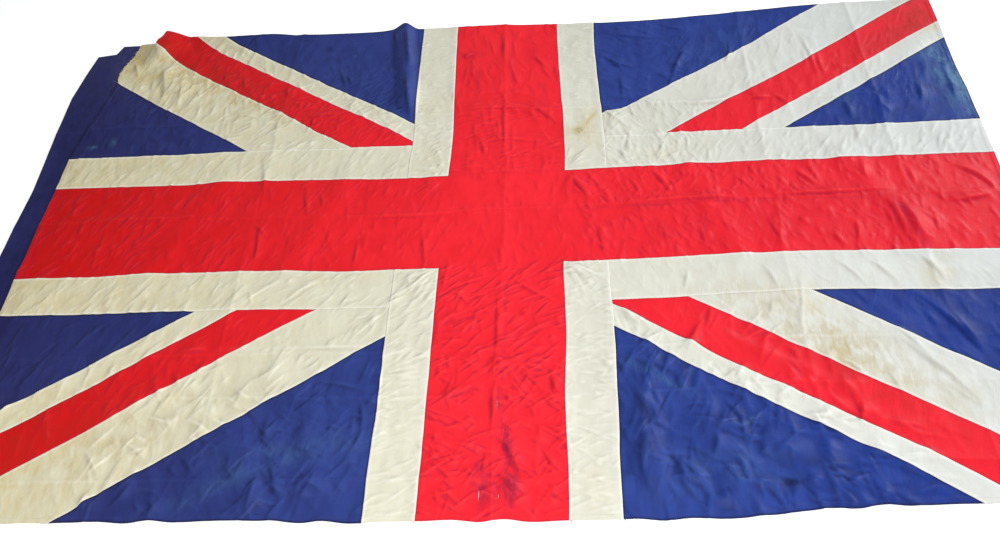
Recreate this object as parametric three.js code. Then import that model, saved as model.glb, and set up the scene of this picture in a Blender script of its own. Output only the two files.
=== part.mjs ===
// A sewn Union Flag seen from its reverse, laid nearly flat after years of being kept folded.
// Every cloth is its own closed solid. Millimetres, +Z up, origin under the middle of the flag.

import * as THREE from 'three';

// ---- driving dimensions ----

const FLAG_HEIGHT = 1371.6; // hem to hem, 54 inches
const UNIT = FLAG_HEIGHT / 30; // the pattern is laid out in thirtieths of the height
const CLOTH = 1.2; // thickness of one cloth, mm
const SEAM_GAP = 0.4; // clear width left along every seam, mm
const MESH_STEP = 1.25; // size of one facet, in units

// The pattern, in units from the middle of the cross (u to the right, v to the far edge).
const RED_HALF = 2.93;
const WHITE_HALF_U = 5.03;
const WHITE_HALF_V = 5.16;
const TOP_HEM = 14.8;
const BOTTOM_HEM = -15.2;
const FLY_END = 23.75;
const HOIST_END = -24;
const SLOPE = 0.66; // rise of the diagonals

// Where each quarter's four diagonal seams cross v = 0, counted outwards from the end triangle.
const DIAGONAL_SEAMS = {
  tl: [-4.05, -0.3, 2.15, 3.4],
  tr: [-4.2, -2.8, -0.3, 3.05],
  bl: [-4.25, -2.9, -0.45, 3.4],
  br: [-3.95, -0.4, 2.05, 3.2],
};
const QUARTER_SIGNS = { tl: [-1, 1], tr: [1, 1], bl: [-1, -1], br: [1, -1] };

// The worn left end: it slants in towards the top corner. There the broad white stands out, raw,
// with its tip cut off, and the red beside it is torn back. Each line keeps what is on its right.
const HOIST_SLANT = { from: [-24, 5.3], to: [-22.6, 14.8] };
const WHITE_RAW_END = { from: [-23.35, 12.04], to: [-22.62, 14.21] };
const WHITE_RAW_TIP = { from: [-22.62, 14.21], to: [-21.44, 13.83] };
const RED_RAW_END = { from: [-21.46, 13.83], to: [-21.12, 14.8] };

// The heading strip, from its outer edge round to the edge that is hidden under the flag.
const HEADING_OUTLINE = [
  [-23.1, -15.2], [-23.1, 5.3], [-22.3, 14.25], [-23.8, 14.45], [-24.05, 13.85],
  [-25.15, 13.78], [-25.68, 10.2], [-25.35, 3], [-25.6, -15.2],
];
const LAP_RISE = 2; // the flag's end lies this far up, on the heading, mm
const LAP_FLAT = 1.9; // units from the end that stay at that height
const LAP_RAMP = 1.3; // units over which it comes down to the floor

// Old fold lines, where the cloth stands up a little along a straight line.
const CREASE_HEIGHT = 4;
const CREASE_WIDTH = 1.25;
const CREASES_ALONG = [-13.5, -9.8, -7.6, 0.5, 7.4]; // lines of constant v
const CREASES_ACROSS = [-12.5, 0, 13, 19.2]; // lines of constant u

// Soft folds: from and to in units, half width in units, height in mm.
const FOLDS = [
  { from: [-6.45, 17.5], to: [-5.2, 6.6], width: 0.8, height: 15 }, // pleat at the top hem
  { from: [-22.2, 16.2], to: [-20.2, 12.8], width: 1.9, height: 22 }, // curl of the top corner
  { from: [-20.5, 15.6], to: [-12.5, 15.4], width: 2.2, height: 12 }, // lifted hem beside it
  { from: [-21, 12.6], to: [-18.2, 9.6], width: 1.1, height: 5 },
  { from: [-14, 4.8], to: [-17.8, -4.6], width: 1.2, height: 4 },
  { from: [-7.5, 4.6], to: [-10.8, -4.2], width: 1.1, height: 4 },
  { from: [-11.8, -10.4], to: [-9.2, -15], width: 1.2, height: 7 },
  { from: [-8.2, -9.4], to: [-6.7, -14.6], width: 1, height: 5 },
  { from: [5.7, -8.8], to: [6.5, -14.8], width: 1, height: 9 },
  { from: [8.1, -10.2], to: [9.8, -15], width: 1.1, height: 8 },
  { from: [10.6, -11.4], to: [13.4, -15], width: 1.1, height: 6 },
  { from: [8.5, 4.8], to: [11.4, -4.4], width: 1.1, height: 4 },
  { from: [16, 5], to: [19.8, -3.6], width: 1.2, height: 4 },
];
const FOLD_TAPER = 0.25; // part of a fold's length over which each end dies away

// Slow drift of hems and seams in the plane: centre, spread and shift, all in units.
const DRIFTS = [
  { at: [7, 15], spread: [4.5, 3], shift: [0, -0.4] },
  { at: [18.5, 15.5], spread: [3, 2.2], shift: [0, 0.25] },
  { at: [18, -14], spread: [5.2, 4.5], shift: [0, 0.68] },
  { at: [-5.5, 0], spread: [3.6, 4], shift: [0, -0.18] },
  { at: [13.2, -4], spread: [3.4, 3], shift: [0, 0.25] },
  { at: [0, 4.5], spread: [5, 3], shift: [0.18, 0] },
  { at: [1.5, 15], spread: [4, 3.5], shift: [-0.18, 0] },
  { at: [-21.5, 16], spread: [2, 2], shift: [0.1, 0.7] }, // the corner, pulled out
  { at: [-6.35, 15.2], spread: [0.5, 0.9], shift: [0, 0.3] },
  { at: [5.25, 6.3], spread: [0.8, 0.55], shift: [0, 0.55] },
];

const RED = { color: 0xc3171f, roughness: 0.82, metalness: 0 };
const WHITE = { color: 0xd9d6c4, roughness: 0.86, metalness: 0 };
const BLUE = { color: 0x2a3173, roughness: 0.8, metalness: 0 };

// ---- the lie of the cloth ----

// Fades from 1 to 0 as t goes from 0 to 1.
function fade(t) {
  return 0.5 + 0.5 * Math.cos(Math.PI * THREE.MathUtils.clamp(t, 0, 1));
}

function foldHeight({ from, to, width, height }, u, v) {
  const along = [to[0] - from[0], to[1] - from[1]];
  const length = Math.hypot(...along);
  const offset = [u - from[0], v - from[1]];
  const run = (offset[0] * along[0] + offset[1] * along[1]) / (length * length);
  const side = Math.abs(offset[0] * along[1] - offset[1] * along[0]) / length;
  const end = Math.min(run, 1 - run);
  return end < 0 ? 0 : height * fade(side / width) * fade(1 - end / FOLD_TAPER);
}

function creaseHeight(u, v) {
  const nearest = Math.min(
    ...CREASES_ALONG.map((line) => Math.abs(v - line)),
    ...CREASES_ACROSS.map((line) => Math.abs(u - line)),
  );
  return CREASE_HEIGHT * Math.max(0, 1 - nearest / CREASE_WIDTH);
}

// Distance in from the worn left end, negative outside it.
function distanceFromHoist(u, v) {
  const { from, to } = HOIST_SLANT;
  const lean = (to[0] - from[0]) / (to[1] - from[1]);
  return u - HOIST_END - lean * Math.max(0, v - from[1]);
}

function liftOverHeading(u, v) {
  return LAP_RISE * fade((distanceFromHoist(u, v) - LAP_FLAT) / LAP_RAMP);
}

// Height of the cloth's underside above the floor, mm.
function flagHeight(u, v) {
  const folds = FOLDS.map((fold) => foldHeight(fold, u, v));
  return Math.max(creaseHeight(u, v), ...folds) + liftOverHeading(u, v);
}

// Where a point of the pattern comes to lie, mm.
function place(u, v, z) {
  const drift = [0, 0];
  for (const { at, spread, shift } of DRIFTS) {
    const reach = ((u - at[0]) / spread[0]) ** 2 + ((v - at[1]) / spread[1]) ** 2;
    const share = Math.exp(-reach / 2);
    drift[0] += shift[0] * share;
    drift[1] += shift[1] * share;
  }
  return [(u + drift[0]) * UNIT, (v + drift[1]) * UNIT, z];
}

// ---- outlines ----

// A limit keeps the points with nu * u + nv * v <= reach, less half a seam gap.
function limit(nu, nv, reach) {
  return { nu, nv, reach: reach - (Math.hypot(nu, nv) * SEAM_GAP) / 2 / UNIT };
}
const rightOf = (u) => limit(-1, 0, -u);
const leftOf = (u) => limit(1, 0, u);
const above = (v) => limit(0, -1, -v);
const below = (v) => limit(0, 1, v);

// Keeps what is to the right of a line that runs from one point to another.
function rightOfLine({ from, to }) {
  const nu = from[1] - to[1];
  const nv = to[0] - from[0];
  return limit(nu, nv, nu * from[0] + nv * from[1]);
}

function trim(outline, { nu, nv, reach }) {
  const kept = [];
  outline.forEach((p, i) => {
    const q = outline[(i + 1) % outline.length];
    const pOver = nu * p[0] + nv * p[1] - reach;
    const qOver = nu * q[0] + nv * q[1] - reach;
    if (pOver <= 0) kept.push(p);
    if (pOver * qOver < 0) {
      const t = pOver / (pOver - qOver);
      kept.push([p[0] + t * (q[0] - p[0]), p[1] + t * (q[1] - p[1])]);
    }
  });
  return kept;
}

// The convex outline inside all the limits. Rounding makes corners that share a line agree exactly.
function outlineWithin(limits) {
  const far = 100;
  const sheet = [[-far, -far], [far, -far], [far, far], [-far, far]];
  return limits.reduce(trim, sheet).map((p) => p.map((x) => Number(x.toFixed(6))));
}

// ---- facets ----

// Lines that pass through every crease, evenly spaced between them.
function meshLines(creases, low, high) {
  const stops = [low, ...creases, high];
  const lines = [];
  for (let i = 0; i + 1 < stops.length; i++) {
    const count = Math.max(1, Math.round((stops[i + 1] - stops[i]) / MESH_STEP));
    for (let k = 0; k < count; k++) lines.push(THREE.MathUtils.lerp(stops[i], stops[i + 1], k / count));
  }
  return [...lines, high];
}
const MESH_U = meshLines(CREASES_ACROSS, HOIST_END, FLY_END);
const MESH_V = meshLines(CREASES_ALONG, BOTTOM_HEM, TOP_HEM);

// The lines strictly inside a span that keep clear of the given stops.
function linesBetween(lines, stops) {
  const clear = 0.3 * MESH_STEP;
  const low = Math.min(...stops);
  const high = Math.max(...stops);
  return lines.filter((x) => x > low && x < high && stops.every((stop) => Math.abs(x - stop) > clear));
}

// Points where the upright line at u crosses an outline, with mesh points between them.
function crossing(outline, u, rows) {
  const hits = [];
  outline.forEach((p, i) => {
    const q = outline[(i + 1) % outline.length];
    if (p[0] === u) hits.push(p[1]);
    if ((p[0] - u) * (q[0] - u) < 0) hits.push(p[1] + ((u - p[0]) / (q[0] - p[0])) * (q[1] - p[1]));
  });
  const low = Math.min(...hits);
  const high = Math.max(...hits);
  const point = 1e-6;
  if (high - low < point) return [[u, low]];
  return [low, ...linesBetween(rows, [low, high]), high].map((v) => [u, v]);
}

// Triangles between two neighbouring columns of points.
function zip(left, right, emit) {
  let i = 0;
  let j = 0;
  while (i + 1 < left.length || j + 1 < right.length) {
    const riseLeft = i + 1 < left.length ? Math.abs(left[i + 1].v - right[j].v) : Infinity;
    const riseRight = j + 1 < right.length ? Math.abs(right[j + 1].v - left[i].v) : Infinity;
    if (riseLeft < riseRight) {
      emit(left[i], right[j], left[i + 1]);
      i += 1;
    } else {
      emit(left[i], right[j], right[j + 1]);
      j += 1;
    }
  }
}

// Flat triangles over an outline: points in units and index triples, counter-clockwise.
function tessellate(outline, columns, rows) {
  const corners = [...new Set(outline.map((p) => p[0]))];
  const stations = [...corners, ...linesBetween(columns, corners)].sort((a, b) => a - b);
  const points = [];
  const triangles = [];
  const strips = stations.map((station) =>
    crossing(outline, station, rows).map(([u, v]) => {
      points.push([u, v]);
      return { v, index: points.length - 1 };
    }),
  );
  for (let k = 0; k + 1 < strips.length; k++) {
    zip(strips[k], strips[k + 1], (a, b, c) => triangles.push([a.index, b.index, c.index]));
  }
  return { points, triangles };
}

// Directed edges that only one triangle has.
function rimEdges(triangles) {
  const edges = new Map();
  for (const [a, b, c] of triangles) {
    for (const [p, q] of [[a, b], [b, c], [c, a]]) edges.set(`${p} ${q}`, [p, q]);
  }
  return [...edges.values()].filter(([p, q]) => !edges.has(`${q} ${p}`));
}

// One cloth: the flat triangles laid over the floor, thickened and closed at the rim.
function clothGeometry({ points, triangles }, underside) {
  const count = points.length;
  const lower = points.map(([u, v]) => place(u, v, underside(u, v)));
  const upper = points.map(([u, v]) => place(u, v, underside(u, v) + CLOTH));
  const index = [];
  for (const [a, b, c] of triangles) index.push(a + count, b + count, c + count, c, b, a);
  for (const [p, q] of rimEdges(triangles)) {
    index.push(p + count, p, q, p + count, q, q + count);
  }
  const geometry = new THREE.BufferGeometry();
  geometry.setAttribute('position', new THREE.Float32BufferAttribute([...lower, ...upper].flat(), 3));
  geometry.setIndex(index);
  geometry.computeVertexNormals();
  return geometry;
}

function clothMesh(name, finish, geometry) {
  const mesh = new THREE.Mesh(geometry, new THREE.MeshStandardMaterial(finish));
  mesh.name = name;
  return mesh;
}

// ---- the cloths ----

const flag = new THREE.Group();

function addPanel(name, finish, limits) {
  const flat = tessellate(outlineWithin(limits), MESH_U, MESH_V);
  flag.add(clothMesh(name, finish, clothGeometry(flat, flagHeight)));
}

// The heading runs up the page, so it is cut in strips across and turned back.
function addHeading() {
  const turned = HEADING_OUTLINE.map(([u, v]) => [v, u]);
  const { points, triangles } = tessellate(turned, MESH_V, []);
  const flat = {
    points: points.map(([v, u]) => [u, v]),
    triangles: triangles.map(([a, b, c]) => [c, b, a]),
  };
  flag.add(clothMesh('heading', BLUE, clothGeometry(flat, () => 0)));
}

function addRedCross() {
  const arm = [rightOf(-RED_HALF), leftOf(RED_HALF)];
  addPanel('red_band', RED, [rightOf(HOIST_END), leftOf(FLY_END), above(-RED_HALF), below(RED_HALF)]);
  addPanel('red_arm_top', RED, [...arm, above(RED_HALF), below(TOP_HEM)]);
  addPanel('red_arm_bottom', RED, [...arm, above(BOTTOM_HEM), below(-RED_HALF)]);
}

// Limits that hold for everything in one quarter beyond the given distances from the middle.
function quarterLimits([across, up], fromU, fromV) {
  const sideways = across > 0 ? [rightOf(fromU), leftOf(FLY_END)] : [leftOf(-fromU), rightOf(HOIST_END)];
  const lengthways = up > 0 ? [above(fromV), below(TOP_HEM)] : [below(-fromV), above(BOTTOM_HEM)];
  return [...sideways, ...lengthways];
}

function addWhiteBorders(quarter, signs) {
  const [across, up] = signs;
  const beside = across > 0 ? leftOf(WHITE_HALF_U) : rightOf(-WHITE_HALF_U);
  const along = up > 0 ? below(WHITE_HALF_V) : above(-WHITE_HALF_V);
  addPanel(`white_upright_${quarter}`, WHITE, [...quarterLimits(signs, RED_HALF, RED_HALF), beside]);
  addPanel(`white_bar_${quarter}`, WHITE, [...quarterLimits(signs, WHITE_HALF_U, RED_HALF), along]);
}

// The five cloths that fill a quarter, between four slanting seams.
function addQuarterField(quarter, signs) {
  const [across, up] = signs;
  const field = quarterLimits(signs, WHITE_HALF_U, WHITE_HALF_V);
  const seams = DIAGONAL_SEAMS[quarter];
  const under = (k) => limit(-SLOPE * across, up, seams[k]);
  const over = (k) => limit(SLOPE * across, -up, -seams[k]);
  const broadFirst = across !== up;
  const widths = broadFirst ? ['broad_white', 'narrow_white'] : ['narrow_white', 'broad_white'];
  const worn = quarter === 'tl';
  const blueEnd = worn ? [rightOfLine(HOIST_SLANT)] : [];
  const whiteEnd = worn ? [rightOfLine(WHITE_RAW_END), rightOfLine(WHITE_RAW_TIP)] : [];
  const redEnd = worn ? [rightOfLine(RED_RAW_END)] : [];
  addPanel(`blue_end_${quarter}`, BLUE, [...field, ...blueEnd, under(0)]);
  addPanel(`${widths[0]}_${quarter}`, WHITE, [...field, ...whiteEnd, over(0), under(1)]);
  addPanel(`red_diagonal_${quarter}`, RED, [...field, ...redEnd, over(1), under(2)]);
  addPanel(`${widths[1]}_${quarter}`, WHITE, [...field, over(2), under(3)]);
  addPanel(`blue_edge_${quarter}`, BLUE, [...field, over(3)]);
}

addHeading();
addRedCross();
for (const [quarter, signs] of Object.entries(QUARTER_SIGNS)) {
  addWhiteBorders(quarter, signs);
  addQuarterField(quarter, signs);
}

const extent = new THREE.Box3().setFromObject(flag);
const middle = extent.getCenter(new THREE.Vector3());
flag.position.set(-middle.x, -middle.y, -extent.min.z);

export default flag;
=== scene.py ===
import math

import bpy
import numpy as np
from mathutils import Matrix, Vector


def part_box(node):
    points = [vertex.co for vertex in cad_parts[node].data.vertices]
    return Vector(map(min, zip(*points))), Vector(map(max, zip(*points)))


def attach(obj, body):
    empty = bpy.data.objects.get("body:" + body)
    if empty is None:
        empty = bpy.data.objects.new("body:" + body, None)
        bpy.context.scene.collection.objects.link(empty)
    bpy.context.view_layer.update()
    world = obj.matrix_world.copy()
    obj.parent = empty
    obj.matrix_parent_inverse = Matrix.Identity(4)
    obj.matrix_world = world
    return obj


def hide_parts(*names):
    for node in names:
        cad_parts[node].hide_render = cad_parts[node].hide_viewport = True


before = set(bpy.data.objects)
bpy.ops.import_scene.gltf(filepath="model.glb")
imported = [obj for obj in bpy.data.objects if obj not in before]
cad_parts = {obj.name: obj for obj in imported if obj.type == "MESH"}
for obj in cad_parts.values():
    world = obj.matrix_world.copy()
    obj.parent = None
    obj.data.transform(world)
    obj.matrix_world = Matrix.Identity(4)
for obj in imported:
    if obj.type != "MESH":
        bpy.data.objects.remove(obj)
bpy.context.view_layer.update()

# A sewn Union Flag seen from its reverse, laid nearly flat, creased, stained and worn at one end.
# Plan positions are in units, thirtieths of the flag's height, from the middle of the cross:
# u to the right, v to the far edge. Heights and small widths are in millimetres until place().

# ---- the pattern, as the construction has it ----

MM = 0.001
FLAG_HEIGHT = 1371.6
UNIT = FLAG_HEIGHT / 30
RED_HALF = 2.93
WHITE_HALF_U = 5.03
WHITE_HALF_V = 5.16
TOP_HEM = 14.8
BOTTOM_HEM = -15.2
FLY_END = 23.75
HOIST_END = -24
SLOPE = 0.66
DIAGONAL_SEAMS = {
    "tl": (-4.05, -0.3, 2.15, 3.4),
    "tr": (-4.2, -2.8, -0.3, 3.05),
    "bl": (-4.25, -2.9, -0.45, 3.4),
    "br": (-3.95, -0.4, 2.05, 3.2),
}
QUARTER_SIGNS = {"tl": (-1, 1), "tr": (1, 1), "bl": (-1, -1), "br": (1, -1)}
HOIST_SLANT = ((-24, 5.3), (-22.6, 14.8))
WHITE_RAW_END = ((-23.35, 12.04), (-22.62, 14.21))
WHITE_RAW_TIP = ((-22.62, 14.21), (-21.44, 13.83))
RED_RAW_END = ((-21.46, 13.83), (-21.12, 14.8))
HEADING_OUTLINE = (
    (-23.1, -15.2), (-23.1, 5.3), (-22.3, 14.25), (-23.8, 14.45), (-24.05, 13.85),
    (-25.15, 13.78), (-25.68, 10.2), (-25.35, 3), (-25.6, -15.2),
)
DRIFTS = (  # slow drift of hems and seams: centre, spread and shift in units
    ((7, 15), (4.5, 3), (0, -0.4)),
    ((18.5, 15.5), (3, 2.2), (0, 0.25)),
    ((18, -14), (5.2, 4.5), (0, 0.68)),
    ((-5.5, 0), (3.6, 4), (0, -0.18)),
    ((13.2, -4), (3.4, 3), (0, 0.25)),
    ((0, 4.5), (5, 3), (0.18, 0)),
    ((1.5, 15), (4, 3.5), (-0.18, 0)),
    ((-21.5, 16), (2, 2), (0.1, 0.7)),
    ((-6.35, 15.2), (0.5, 0.9), (0, 0.3)),
    ((5.25, 6.3), (0.8, 0.55), (0, 0.55)),
)

# ---- how the cloth is sewn, mm ----

CLOTH = 0.35  # thickness of one cloth
GROUND = 0.6  # height at which a flat cloth lies, so that its seam allowances fit below
LAP = 0.42  # rise of a cloth over the one it is sewn onto, for each rank
LAP_WIDTH = 8  # how far the lower cloth runs on beneath a seam
LAP_SINK = 0.45  # how far the lower cloth drops there
LAP_EDGE = (0.42, 2.5)  # height and width of the edge, turned down onto the lower cloth
LAP_HELD = 9.5  # width beside a seam that stays risen
LAP_FADE = 13
UNDER_FADE = (1, 4)  # the rise dies away towards an edge that runs beneath: past it, and over, mm
PIPING = 0.16  # plump edge of a lapped seam
PIPING_AT = 2.6
PIPING_WIDTH = 2.2
HEM_WIDTH = 12
HEM_STEP = 1.6
HEM_RISE = 0.55
HEADING_RISE = 1.3  # lift of the hoist end onto the heading
HEADING_FLAT = 1.9 * UNIT
HEADING_RAMP = 1.3 * UNIT
RANK = {"blue": 0, "red": 0, "band": 0.75, "diagonal": 1, "bar": 1.25, "upright": 1.5}

MESH_STEP = 3.3
UNDERSIDE_STEP = 24  # the underside is coarser, mm
UNDERSIDE_STRIP = 1.5  # but follows the upper side this near to its edges
STRIPS = {  # mesh lines beside an edge, mm inwards from the seam or hem line
    "over": (0, 1.5, 3.2, 5.4, 9, 14),
    "under": (-LAP_WIDTH, 0, 4),
    "hem": (0, 1.2, 5, 10.8, 12.6, 16),
    "raw": (0, 2, 5, 9),
    "cut": (0, 4),
}
STEEP_STEP = 1.2
STEEP_LEAN = 0.5  # an edge leaning less than this, across for up, gets extra columns
LEVEL_SHARE = 0.3  # an edge facing up the plan by more than this gets its strips
CLEAR = 1.7  # nearest that a mesh line comes to another, mm
FIRM_CLEAR = 0.5  # share of that for the lines that belong to an edge
TINY = 1e-6

# ---- the lie of the cloth: old folds and creases ----

CREASES_ALONG = (-13.5, -9.8, -7.6, 0.5, 7.4)
CREASES_ACROSS = (-12.5, 0, 13, 19.2)
CREASE_BASE = (1.1, 1.25 * UNIT)  # height and half width, mm
CREASE_LINE = (1.9, 9.0)  # height and width of the sharp line itself, mm
CREASE_STRENGTH = (0.25, 1.1, 140)  # least strength of the line, how much more, spacing in mm
CREASE_WANDER = (8, 90)  # sideways reach and spacing, mm

FOLDS = (  # from, to, half width in units, height in mm
    ((-6.45, 17.5), (-5.2, 6.6), 0.8, 15),
    ((-22.2, 16.2), (-20.2, 12.8), 1.9, 22),
    ((-20.5, 15.6), (-12.5, 15.4), 2.2, 12),
    ((-21, 12.6), (-18.2, 9.6), 1.1, 5),
    ((-14, 4.8), (-17.8, -4.6), 1.2, 4),
    ((-7.5, 4.6), (-10.8, -4.2), 1.1, 4),
    ((-11.8, -10.4), (-9.2, -15), 1.2, 7),
    ((-8.2, -9.4), (-6.7, -14.6), 1, 5),
    ((5.7, -8.8), (6.5, -14.8), 1, 9),
    ((8.1, -10.2), (9.8, -15), 1.1, 8),
    ((10.6, -11.4), (13.4, -15), 1.1, 6),
    ((8.5, 4.8), (11.4, -4.4), 1.1, 4),
    ((16, 5), (19.8, -3.6), 1.2, 4),
)
FOLD_TAPER = 0.25

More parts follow.
